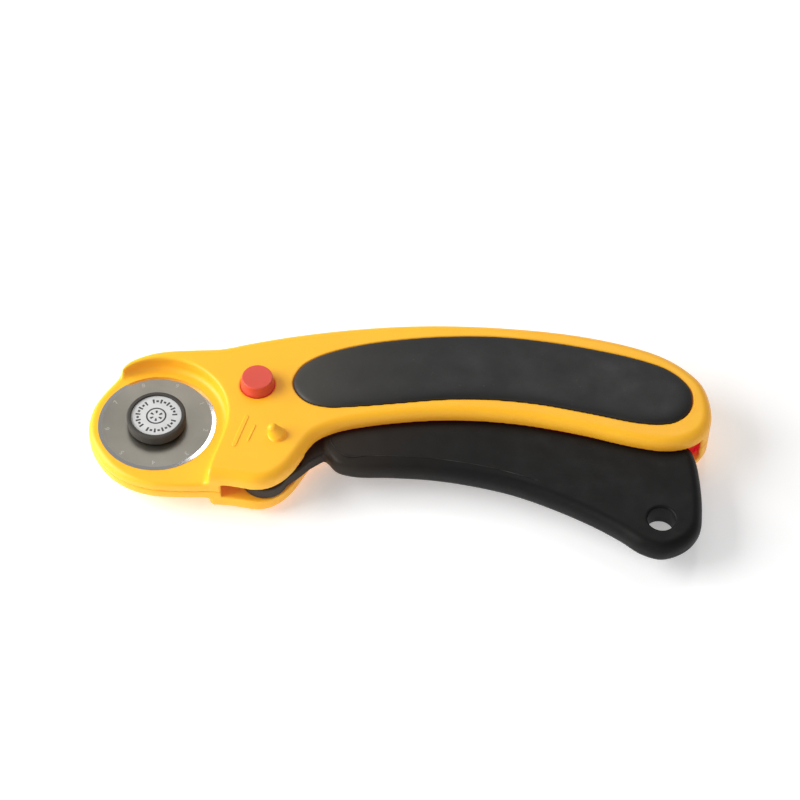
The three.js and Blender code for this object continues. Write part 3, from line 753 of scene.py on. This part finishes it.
def shell_half(grid, head, neck_room, edge, foot):
    """What the two shells share, as the front half.

    head is the height of the head's face, and edge and foot round the recess wall's top and foot.
    """
    around = grid.outline(smooth_outline(SILHOUETTE))
    whole = grid.slab(around, -SHELL_HALF, SHELL_HALF, EDGE_ROUND, EDGE_ROUND)
    recess = grid.slab(grid.outline(recess_outline()), head, FAR, foot)
    shell = cut(whole, recess, edge)
    shell = keep(shell, SEAM - grid.z, CUT_ROUND)
    arm_room = grid.slab(around + WALL, -FAR, HEAD_ROOM)
    neck = grid.slab(grid.outline(NECK_SWEEP), -FAR, neck_room)
    right = HANDLE_ROOM_X - grid.x
    swing = join(around + WALL, grid.outline(LEVER_SWEEP))
    swing = grid.slab(np.maximum(swing, right), -FAR, LEVER_ROOM)
    deep_flat = np.maximum(around + WALL + DEEP_INSET, right)
    deep = grid.slab(deep_flat, -FAR, DEEP_ROOM, 0, DEEP_INSET)
    room = join(join(join(arm_room, neck), swing), deep)
    shell = cut(shell, room, CUT_ROUND)
    for at in SCREW_AT:
        shell = join(shell, grid.slab(grid.circle(at, POST_R), SEAM, DEEP_ROOM + 0.6), 0.3)
    seat = grid.outline(smooth_outline(GRIP)) - 0.2
    shell = cut(shell, grid.slab(seat, PAD_FLOOR, FAR), CUT_ROUND)
    axle_slot = grid.arc_slot(PIVOT, ARM_LENGTH, ARM_ANGLE, ARM_ANGLE + SQUEEZE, SHOULDER_R + 0.3)
    shell = cut(shell, grid.slab(axle_slot, -FAR, FAR), 0.3)
    return cut(shell, grid.slab(grid.circle(PIVOT, PIN_HOLE_R), -FAR, PIN_HOLE_TOP))


def nub():
    """The small peg on the front shell, a leaning round-topped cone with a fillet at its foot."""
    reach = NUB_FOOT[3] + 2
    low = (NUB_FOOT[0] - reach, NUB_FOOT[1] - reach, SHELL_HALF - 0.5)
    high = (NUB_FOOT[0] + reach, NUB_FOOT[1] + reach, SHELL_HALF + 5)
    grid = Grid(low, high, 0.22)
    axis = [NUB_TOP[i] - NUB_FOOT[i] for i in range(3)]
    away = [grid.x - NUB_FOOT[0], grid.y - NUB_FOOT[1], grid.z - NUB_FOOT[2]]
    along = sum(a * b for a, b in zip(away, axis)) / sum(a * a for a in axis)
    along = np.clip(along, 0, 1)
    side = np.sqrt(sum((a - along * b) ** 2 for a, b in zip(away, axis)))
    cone = side - (NUB_FOOT[3] + along * (NUB_TOP[3] - NUB_FOOT[3]))
    peg = join(cone, grid.z - SHELL_HALF + 0.02, 0.7)
    peg = keep(peg, grid.circle(NUB_FOOT, reach - 0.5))
    peg = keep(peg, SHELL_HALF - 0.3 - grid.z)
    moulded("front_shell_peg", peg, grid, "handle", [], YELLOW)


def shell_grid():
    low, high = (SHELL_LOW[0], SHELL_LOW[1], 0), (SHELL_HIGH[0], SHELL_HIGH[1], SHELL_HALF)
    return Grid(low, high, SHELL_STEP)


def groove(grid, angle, end, top):
    """Room for one of the return spring's legs."""
    flat = grid.ribbon(polar(PIVOT, GROOVE_START, angle), polar(PIVOT, end, angle), GROOVE_HALF)
    return grid.slab(flat, -FAR, top)


def front_shell():
    """The front half, with the spring's room, the screws' pilot holes and the lock bolt's hole."""
    grid = shell_grid()
    leftness = np.clip((EDGE_BLEND[0] - grid.x) / (EDGE_BLEND[0] - EDGE_BLEND[1]), 0, 1)
    edge = EDGE_RIGHT + (EDGE_LEFT - EDGE_RIGHT) * leftness**2 * (3 - 2 * leftness)
    shell = shell_half(grid, HEAD_FRONT, NECK_ROOM_FRONT, edge, 2.3)
    for at in SCREW_AT:
        shell = cut(shell, grid.slab(grid.circle(at, PILOT_R), -FAR, PILOT_TOP))
    inner, outer = (grid.circle(PIVOT, radius) for radius in COIL_ROOM_R)
    ring = cut(grid.slab(outer, -FAR, COIL_ROOM_TOP), grid.slab(inner, -FAR, FAR))
    anchor = groove(grid, ANCHOR_ANGLE, ANCHOR_END, ANCHOR_TOP)
    leg = groove(grid, LEG_ANGLE, LEG_END, LEG_TOP)
    shell = cut(shell, join(join(ring, anchor), leg))
    shell = cut(shell, grid.slab(grid.circle(LOCK, COLLAR_HOLE_R), LOCK_SEAT, FAR), 0.3)
    shell = cut(shell, grid.slab(grid.circle(LOCK, WIDE_HOLE_R), -FAR, LOCK_SEAT + 0.6))
    across = np.abs(grid.x - LOCK[0] - CLIP_X) - CLIP_HALF[0]
    clip = np.maximum(across, np.abs(grid.y - LOCK[1]) - CLIP_HALF[1])
    shell = cut(shell, grid.slab(clip, -FAR, CLIP_TOP))
    moulded("front_shell_moulding", shell, grid, "handle", ["front_shell"], YELLOW)


def raised_bars():
    """Two plain bars, barely raised, on the front shell beside the recess."""
    for number, (start, end, half) in enumerate(RAISED_BARS, 1):
        low = (start[0] - 2, start[1] - 2, SHELL_HALF - 0.5)
        grid = Grid(low, (end[0] + 2, end[1] + 2, SHELL_HALF + 0.3), (0.2, 0.2, 0.1))
        bar = grid.slab(grid.ribbon(start, end, half), SHELL_HALF - 0.4, SHELL_HALF + 0.22, 0, 0.2)
        moulded(f"front_shell_raised_bar_{number}", bar, grid, "handle", [], YELLOW)


def back_shell():
    """The back half, with the screws' counterbores and the lock bolt's rear hole."""
    grid = shell_grid()
    shell = shell_half(grid, HEAD_BACK, NECK_ROOM_BACK, 2.0, 1.6)
    for at in SCREW_AT:
        shell = cut(shell, grid.slab(grid.circle(at, SCREW_HOLE_R), -FAR, FAR))
        shell = cut(shell, grid.slab(grid.circle(at, SCREW_SINK_R), SCREW_SEAT, FAR), 0.25)
    shell = cut(shell, grid.slab(grid.circle(LOCK, REAR_HOLE_R), REAR_SEAT, FAR), 0.3)
    shell = cut(shell, grid.slab(grid.circle(LOCK, STEM_HOLE_R), -FAR, REAR_SEAT + 0.2))
    moulded("back_shell_moulding", shell, grid, "handle", ["back_shell"], YELLOW, mirror=True)


# ---- grips
def grips():
    """Pads with a crowned face that rolls down to the shell all round."""
    grid = Grid(PAD_LOW, PAD_HIGH, (0.55, 0.55, 0.4))
    edge = grid.outline(smooth_outline(GRIP))
    top, shoulder = PAD_HIGH[2] - 0.02, SHELL_HALF - 0.1
    roll_width = 9.0
    share = np.clip(-edge / roll_width, 0, 1)
    crown = shoulder + (top - shoulder) * np.sqrt(1 - (1 - share) ** 2)
    pad = keep(edge, (grid.z - crown) * 0.85, 0.4)
    pad = keep(pad, PAD_LOW[2] - grid.z, 0.2)
    moulded("front_grip_pad", pad, grid, "handle", ["front_grip"], RUBBER)
    moulded("back_grip_pad", pad, grid, "handle", ["back_grip"], RUBBER, mirror=True)


# ---- trigger lever
CREASE_PATH = [
    (66.6, -6.6), (67.6, -10), (72.6, -14.9), (82, -14.6), (93, -14.7), (104, -15.4), (115, -16.9),
    (127, -19.4), (137, -22.4), (146.4, -25.8), (152, -28),
]
# The lever's faces slope away outside the crease, and the slope fades out between two X values.
CREASE_IN = 5.4
CREASE_SLOPE = 0.27
CREASE_FADE = (95, 155)
BEAD_R = 0.14
ROUND = 0.4
NECK_ROUND = 0.6
PLATE_SIDE = math.radians(8.5)
PLATE_RIM = 5.5
LOCK_SLOT_HALF = 1.95
LEG_SLOT_HALF = 0.9
BOLT_FLAT_HALF = 2.45


def trigger_lever():
    """Body, neck, boss, the arm to the blade and the lock's plate, with their slots and holes."""
    grid = Grid(*node_box("trigger_lever"), (0.5, 0.5, 0.45))
    edge = grid.outline(smooth_outline(LEVER_BODY))
    body = grid.slab(edge, -LEVER_HALF, LEVER_HALF, LEVER_ROUND, LEVER_ROUND)
    fade = 1 - np.clip((grid.x - CREASE_FADE[0]) / (CREASE_FADE[1] - CREASE_FADE[0]), 0, 1)
    flank = LEVER_HALF - CREASE_SLOPE * fade * np.maximum(CREASE_IN + edge, 0)
    body = keep(body, (np.abs(grid.z) - flank) * 0.96, 0.15)
    neck = grid.slab(grid.outline(NECK), -NECK_HALF, NECK_HALF, NECK_ROUND, NECK_ROUND)
    boss = grid.slab(grid.circle(PIVOT, BOSS_R), -NECK_HALF, NECK_HALF, NECK_ROUND, NECK_ROUND)
    squeezed = LOCK_ANGLE - SQUEEZE
    start, end = squeezed - PLATE_SIDE, LOCK_ANGLE + PLATE_SIDE
    rim = arc(PIVOT, LOCK_RADIUS + PLATE_RIM, start, end, 16)
    fan = [polar(PIVOT, 6, start)] + rim + [polar(PIVOT, 6, end)]
    lever = join(body, join(neck, boss), 0.9)
    for flat in (
        grid.ribbon((0, 0), PIVOT, ARM_WIDTH / 2), grid.circle((0, 0), EYE_R), grid.outline(fan),
    ):
        lever = join(lever, grid.slab(flat, -ARM_HALF, ARM_HALF, ROUND, ROUND))
    through = [
        grid.arc_slot(PIVOT, LOCK_RADIUS, squeezed, LOCK_ANGLE, LOCK_SLOT_HALF),
        grid.circle(LOCK, WIDE_HOLE_R),
        grid.circle(polar(PIVOT, LOCK_RADIUS, squeezed), WIDE_HOLE_R),
        grid.arc_slot(PIVOT, LEG_R, LEG_ANGLE - SQUEEZE, LEG_ANGLE, LEG_SLOT_HALF),
        grid.circle(PIVOT, PIN_HOLE_R),
        np.maximum(grid.circle((0, 0), THREAD_R + 0.15), np.abs(grid.y) - BOLT_FLAT_HALF),
    ]
    for flat in through:
        lever = cut(lever, grid.slab(flat, -FAR, FAR), 0.2)
    lever = cut(lever, grid.slab(grid.circle(HANG_HOLE, HANG_HOLE_R), -FAR, FAR), 0.7)
    moulded("trigger_lever_moulding", lever, grid, "trigger", ["trigger_lever"], BLACK)


def crease_lines():
    """The fine bead along the crease on both faces, in a paler nylon that paints the crease's highlight
    line.
    """
    per_span = 6
    path = smooth_outline(CREASE_PATH, per_span)[:per_span * (len(CREASE_PATH) - 2)]
    for name, side in (("front", 1), ("back", -1)):
        points = [(x, y, side * (LEVER_HALF - 0.06)) for x, y in path]
        wire(f"trigger_lever_crease_{name}", points, BEAD_R, "trigger", [], BEAD)


# ---- blade and its mounting
NUMBERS = 9
NUMBER_R = 19.0
NUMBER_SIZE = 2.7
BLADE_HOLE_R = 4.1


def blade():
    """A disc that is bevelled on its front side down to a very thin rim."""
    low, high = BLADE_LOW[2], BLADE_HIGH[2]
    profile = [
        (BLADE_HOLE_R, low, 0.03), (BLADE_R, low, 0.0), (BLADE_R, low + 0.03, 0.0),
        (BLADE_R - BEVEL_WIDTH, high, 0.0), (BLADE_HOLE_R, high, 0.03),
    ]
    lathe("blade_disc", profile, (0, 0), "blade", ["blade"], STEEL, 320, closed=True, sharp=5)


def blade_numbers():
    """The index numbers etched round the blade, as one mesh that stands a hair above the steel."""
    verts, faces = [], []
    for number in range(1, NUMBERS + 1):
        curve = bpy.data.curves.new("number", "FONT")
        curve.body = str(number)
        curve.align_x, curve.align_y = "CENTER", "CENTER"
        curve.size = NUMBER_SIZE
        curve.extrude = 0.01
        mesh = curve_mesh(curve)
        angle = math.radians(70) - 2 * math.pi * number / NUMBERS
        turn = Matrix.Rotation(angle - math.pi / 2, 3, "Z")
        place = Vector((*polar((0, 0), NUMBER_R, angle), BLADE_HIGH[2]))
        base = len(verts)
        verts += [tuple(turn @ v.co + place) for v in mesh.vertices]
        faces += [tuple(base + i for i in polygon.vertices) for polygon in mesh.polygons]
    piece = to_mesh("blade_index_numbers", verts, faces, "blade", [], ETCH)
    piece.data.shade_flat()


CAP_HOLLOW_R = 7.2
CAP_HOLLOW_TOP = 7.0


def bolt_cap():
    """The round cap, hollow below for the bolt's head and with a shallow well for the label."""
    low, high = CAP_LOW[2], CAP_HIGH[2]
    well, floor = LABEL_R + 0.1, LABEL_LOW[2] - 0.05
    profile = [
        (0, CAP_HOLLOW_TOP), (CAP_HOLLOW_R, CAP_HOLLOW_TOP, 0.1), (CAP_HOLLOW_R, low, 0.1),
        (CAP_R - 0.4, low, 0.3), (CAP_R, low + 0.65, 0.3), (CAP_R, high - 0.5, 0.5),
        (CAP_R - 0.5, high, 0.4), (well, high, 0.15), (well, floor, 0.02), (0, floor),
    ]
    lathe("bolt_cap_turned", profile, (0, 0), "trigger", ["bolt_cap"], CAP, 200)


def cap_label():
    low, high = LABEL_LOW[2], LABEL_HIGH[2]
    profile = [(0, low), (LABEL_R, low, 0.02), (LABEL_R, high, 0.06), (0, high)]
    lathe("cap_label_film", profile, (0, 0), "trigger", ["cap_label"], FILM)


def label_marks():
    """Generic print: three groups of long and short bars round a plain ring with spokes."""
    verts, faces, level = [], [], LABEL_HIGH[2]

    def bar(radius_in, radius_out, angle, half_angle):
        base = len(verts)
        steps = 4
        for a in np.linspace(angle - half_angle, angle + half_angle, steps + 1):
            for r in (radius_in, radius_out):
                verts.extend((*polar((0, 0), r, a), z) for z in (level + 0.012, level - 0.01))
        for i in range(steps):
            a, b = base + 4 * i, base + 4 * (i + 1)
            faces.extend([(a, a + 2, b + 2, b), (a + 1, b + 1, b + 3, a + 3)])
            faces.extend([(a, b, b + 1, a + 1), (a + 2, a + 3, b + 3, b + 2)])
        end = base + 4 * steps
        faces.extend([(base, base + 1, base + 3, base + 2), (end, end + 2, end + 3, end + 1)])

    bars, group, spokes, ring = 30, 10, 6, 24
    long_bar, short_bar = (6.1, 8.0, 0.05), (6.6, 7.5, 0.07)
    for i in range(bars):
        if i % group != group - 1:
            radius_in, radius_out, half_angle = short_bar if i % 2 else long_bar
            bar(radius_in, radius_out, 2 * math.pi * i / bars + 0.1, half_angle)
    for i in range(spokes):
        bar(1.2, 2.5, 2 * math.pi * i / spokes + 0.5, 0.2)
    for i in range(ring):
        bar(3.3, 3.9, 2 * math.pi * i / ring, math.pi / ring)
    piece = to_mesh("cap_label_marks", verts, faces, "trigger", [], INK)
    piece.data.shade_flat()


THREAD_DEPTH, THREAD_PITCH = 0.35, 0.8
BOLT_FLAT_R = 2.3
SHOULDER_TOP = 5.6
BOLT_HEAD_R = 7
WASHER_THICK = 0.35
WASHER_HOLE_R = 4.3
WASHER_BOW = 0.006
NUT_R = 9.0
NUT_FLUTES = 12
FLUTE_R = 1.1
NUT_DISH = (6.2, 1.2, 0.6)


def blade_bolt():
    """The bolt from its threaded end up: thread, flats in the lever's arm, shoulder and head."""
    seat = ARM_HALF + 0.15
    low, high = BOLT_LOW[2], BOLT_HIGH[2]
    root_r = THREAD_R - THREAD_DEPTH
    profile = [(0, low), (THREAD_R - 0.6, low, 0.1)]
    for i in range(int((-seat - low - THREAD_PITCH) / THREAD_PITCH)):
        z = low + 0.5 + i * THREAD_PITCH
        profile += [(root_r, z, 0.05), (THREAD_R, z + THREAD_PITCH / 2, 0.05)]
    profile += [
        (root_r, -seat - 0.2, 0.05), (BOLT_FLAT_R, -seat, 0.05), (BOLT_FLAT_R, seat, 0.05),
        (SHOULDER_R, seat, 0.1), (SHOULDER_R, SHOULDER_TOP, 0.1),
        (BOLT_HEAD_R, SHOULDER_TOP, 0.2), (BOLT_HEAD_R, high, 0.3), (0, high),
    ]
    lathe("blade_bolt_turned", profile, (0, 0), "trigger", ["blade_bolt"], ZINC, 96)


def nut_insert():
    low, high, inner = INSERT_LOW[2], INSERT_HIGH[2], THREAD_R + 0.1
    profile = [(inner, low, 0.15), (SHOULDER_R, low, 0.2), (SHOULDER_R, high, 0.15), (inner, high, 0.1)]
    lathe("nut_insert_turned", profile, (0, 0), "trigger", ["nut_insert"], BRASS, 96, closed=True)


def spring_washer():
    """A thin ring bowed along X."""
    low, high, outer = WASHER_HIGH[2] - WASHER_THICK, WASHER_HIGH[2], WASHER_HIGH[1]
    profile = [(WASHER_HOLE_R, low, 0.1), (outer, low, 0.1), (outer, high, 0.1), (WASHER_HOLE_R, high, 0.1)]
    lathe(
        "spring_washer_bowed", profile, (0, 0), "trigger", ["spring_washer"], SPRING,
        closed=True, bend=lambda x, y: -WASHER_BOW * x**2,
    )


def blade_nut():
    """A fluted nut with a socket for its insert above and a ring-shaped dish below."""
    grid = Grid(NUT_LOW, NUT_HIGH, 0.22)
    angle = np.arctan2(grid.y, grid.x)
    half_sector = math.pi / NUT_FLUTES
    sector = (angle + half_sector) % (2 * half_sector) - half_sector
    distance = np.hypot(grid.x, grid.y)
    flute = np.hypot(distance * np.cos(sector) - (NUT_R + 0.4), distance * np.sin(sector)) - FLUTE_R
    nut = grid.slab(cut(distance - NUT_R, flute, 0.3), NUT_LOW[2], NUT_HIGH[2], 0.8, 0.3)
    nut = cut(nut, grid.slab(distance - (SHOULDER_R + 0.1), -FAR, 0), 0.3)
    dish_r, dish_half, dish_depth = NUT_DISH
    dish = grid.slab(np.abs(distance - dish_r) - dish_half, -FAR, NUT_LOW[2] + dish_depth, 0, 0.3)
    nut = cut(nut, dish, 0.2)
    moulded("blade_nut_moulding", nut, grid, "trigger", ["blade_nut"], CAP)


# ---- lock, pivot and springs
WAIST_R, WIDE_R, COLLAR_R, BUTTON_R = 1.7, 3.1, 6.5, 5.9
WIDE_FROM, COLLAR_FROM = 2.7, 10.1
REAR_STEM_R, REAR_SOCKET_R = 3.4, 1.8
REAR_HEAD_TOP, SOCKET_END = -7, -9.2


def lock_bolt():
    """The front half has the waist that frees the lever and the wide part that locks it."""
    low, top = BUTTON_LOW[2], BUTTON_HIGH[2]
    front = [
        (0, low), (WAIST_R, low, 0.2), (WAIST_R, WIDE_FROM, 0.1), (WIDE_R, WIDE_FROM, 0.2),
        (WIDE_R, COLLAR_FROM, 0.1), (COLLAR_R, COLLAR_FROM, 0.2), (COLLAR_R, COLLAR_FROM + 1.6, 0.8),
        (BUTTON_R + 0.05, COLLAR_FROM + 3.2, 0.9), (BUTTON_R, top, 0.65), (5.0, top, 1.0), (0, top - 0.15),
    ]
    lathe("lock_button_turned", front, LOCK, "lock", ["lock_button"], RED)
    low, high = REAR_LOW[2], REAR_HIGH[2]
    rear = [
        (0, low + 0.15), (5.0, low, 1.0), (BUTTON_R, low, 0.6), (BUTTON_R, REAR_HEAD_TOP, 0.2),
        (REAR_STEM_R, REAR_HEAD_TOP, 0.1), (REAR_STEM_R, high, 0.2), (REAR_SOCKET_R, high, 0.1),
        (REAR_SOCKET_R, SOCKET_END, 0.05), (0, SOCKET_END),
    ]
    lathe("lock_button_rear", rear, LOCK, "lock", ["lock_button_end"], RED)


SPRING_WIRE_R = 0.48
COIL_R, COIL_TURNS, COIL_TOP, COIL_BOTTOM = 4.7, 3, 7.1, 3.6
LEG_TIP = 1.1
CLIP_WIRE_R, CLIP_BEND_R, CLIP_LEVEL = 0.42, 3.75, 3.3


def pivot_pin():
    low, high, radius = PIN_LOW[2], PIN_HIGH[2], 2.5
    profile = [(0, low), (radius, low, 0.4), (radius, high, 0.4), (0, high)]
    lathe("pivot_pin_turned", profile, PIVOT, "handle", ["pivot_pin"], ZINC, 64)


def return_spring():
    """One leg in the front shell's groove, the coil, and a leg whose tip is in the lever's slot."""
    start, end, steps = ANCHOR_ANGLE, LEG_ANGLE, 180
    sweep = end - start - 2 * math.pi * COIL_TURNS
    points = [(*polar(PIVOT, r, start), COIL_TOP) for r in (11.4, 9, 7, 5.6)]
    for i in range(steps + 1):
        share = i / steps
        z = COIL_TOP + (COIL_BOTTOM - COIL_TOP) * share
        points.append((*polar(PIVOT, COIL_R, start + sweep * share), z))
    points += [(*polar(PIVOT, r, end), COIL_BOTTOM) for r in (5.8, 8, 12)]
    tip = polar(PIVOT, LEG_R, end)
    points.append((*polar(PIVOT, LEG_R - 0.2, end), COIL_BOTTOM - 0.3))
    points += [(*tip, COIL_BOTTOM - 0.9), (*tip, LEG_TIP)]
    wire("return_spring_coil", points, SPRING_WIRE_R, "handle", ["return_spring"], SPRING)


def lock_clip():
    """A wire bent round the lock bolt, open to the left."""
    (x, y), away = LOCK, CLIP_BEND_R
    path = [(x - 6, y + away + 0.5), (x - 4, y + away)]
    path += arc(LOCK, away, math.pi / 2, -math.pi / 2, 24)
    path += [(x - 4, y - away), (x - 6, y - away - 0.5)]
    points = [(*point, CLIP_LEVEL) for point in path]
    wire("lock_clip_wire", points, CLIP_WIRE_R, "handle", ["lock_clip"], SPRING)


SCREW_HEAD_R, SCREW_HEAD_TOP = 2.4, -7.7
SCREW_R, SCREW_PITCH, SCREW_GROOVE = 1.3, 1.1, 0.12
POINT_FROM, POINT_LENGTH, POINT_TAPER = 3.2, 1.8, 1.1
CROSS_REACH, CROSS_HALF, CROSS_END = 1.5, 0.32, -8.5


def screws():
    """Cross-slot screws, with their heads towards the back."""
    for number, ((low, high), at) in enumerate(zip(SCREWS, SCREW_AT), 1):
        grid = Grid(low, high, (0.2, 0.2, 0.25))
        head = grid.slab(grid.circle(at, SCREW_HEAD_R), low[2], SCREW_HEAD_TOP, 0.5, 0.1)
        groove = SCREW_GROOVE * np.cos(2 * math.pi * grid.z / SCREW_PITCH)
        point = np.clip((grid.z - POINT_FROM) / POINT_LENGTH, 0, 1)
        shank = grid.circle(at, SCREW_R) + groove + POINT_TAPER * point
        screw = join(head, grid.slab(shank, SCREW_HEAD_TOP - 0.5, high[2]), 0.2)
        x, y = np.abs(grid.x - at[0]), np.abs(grid.y - at[1])
        cross = np.maximum(np.maximum(x, y) - CROSS_REACH, np.minimum(x, y) - CROSS_HALF)
        screw = cut(screw, grid.slab(cross, -FAR, CROSS_END), 0.05)
        name = f"shell_screw_{number}"
        moulded(name + "_threaded", screw, grid, "handle", [name], ZINC)


# ---- studio
MIDDLE = (93, -4, 0)
FLOOR_HALF = 3.0
FOCAL_PIXELS = 2409
IMAGE_PIXELS = 800
SENSOR = 36
CAMERA_TARGET = (92.7, 12.55, 4.7)
CAMERA_DISTANCE = 0.928


def area_light(name, direction, distance, size, radiance):
    """A soft white light that looks at the middle of the cutter from a direction."""
    middle = Vector((ORIGIN + MIDDLE) * MM)
    light = bpy.data.lights.new(name, "AREA")
    light.shape = "RECTANGLE"
    light.size, light.size_y = size
    light.energy = radiance * math.pi * size[0] * size[1]
    lamp = add_object(name, light)
    towards = Vector(direction).normalized()
    lamp.location = middle + towards * distance
    lamp.rotation_euler = towards.to_track_quat("Z", "Y").to_euler()


def studio():
    """Floor, lights and sky. The floor glows a little, so that it stays white like the photo's ground."""
    mesh = bpy.data.meshes.new("floor")
    square = ((-1, -1), (1, -1), (1, 1), (-1, 1))
    corners = [(x * FLOOR_HALF, y * FLOOR_HALF, CAD_BOX[0][2]) for x, y in square]
    mesh.from_pydata(corners, [], [(0, 1, 2, 3)])
    n = Nodes("pale_floor")
    grain = n.remap(n.noise(30, 3), 0.3, 0.7, 0.9, 0.94)
    mesh.materials.append(n.set(
        Base_Color=grain, Roughness=0.9, Specular_IOR_Level=0.1,
        Emission_Color=rgb(1, 1, 1), Emission_Strength=0.32,
    ))
    add_object("floor", mesh)
    area_light("key", (-0.9, 0.02, 0.5), 1.0, (0.85, 0.8), 6.2)
    area_light("front_fill", (0.15, -0.85, 0.45), 1.1, (1.2, 0.5), 0.55)
    area_light("back_panel", (-0.13, 0.62, 0.785), 1.15, (0.42, 0.5), 0.95)
    area_light("blade_strip", (0.18, 0.55, 0.75), 1.0, (0.14, 0.6), 4.0)
    studio_world()
    bpy.context.scene.view_settings.view_transform = "Standard"


def studio_world(horizon=0.52, above=0.27):
    """A sky that is brighter at the horizon than overhead."""
    n = Nodes("studio", bpy.data.worlds, "Background")
    generated = n.add("ShaderNodeTexCoord", output="Generated")
    height = n.add("ShaderNodeSeparateXYZ", {"Vector": generated}, "Z")
    strength = n.remap(height, 0.0, 0.7, horizon, above)
    bpy.context.scene.world = n.set(Color=rgb(1, 1, 1), Strength=strength)


def camera():
    """Above and in front of the cutter, a long lens, rolled by a touch."""
    elevation, roll = math.radians(51.73), math.radians(0.79)
    target = Vector((ORIGIN + CAMERA_TARGET) * MM)
    data = bpy.data.cameras.new("camera")
    data.lens = FOCAL_PIXELS / IMAGE_PIXELS * SENSOR
    data.sensor_width = SENSOR
    obj = add_object("camera", data)
    back = Vector((0, -math.cos(elevation), math.sin(elevation)))
    right, up = Vector((1, 0, 0)), Vector((0, math.sin(elevation), math.cos(elevation)))
    tilted = math.cos(roll) * right + math.sin(roll) * up
    upright = -math.sin(roll) * right + math.cos(roll) * up
    facing = Matrix((tilted, upright, back)).transposed().to_4x4()
    obj.matrix_world = Matrix.Translation(target + back * CAMERA_DISTANCE) @ facing
    bpy.context.scene.camera = obj


for build in (
    front_shell, nub, raised_bars, back_shell, grips, trigger_lever, crease_lines, blade, blade_numbers,
    bolt_cap, cap_label, label_marks, blade_bolt, nut_insert, spring_washer, blade_nut, lock_bolt, pivot_pin,
    return_spring, lock_clip, screws, studio, camera,
):
    build()
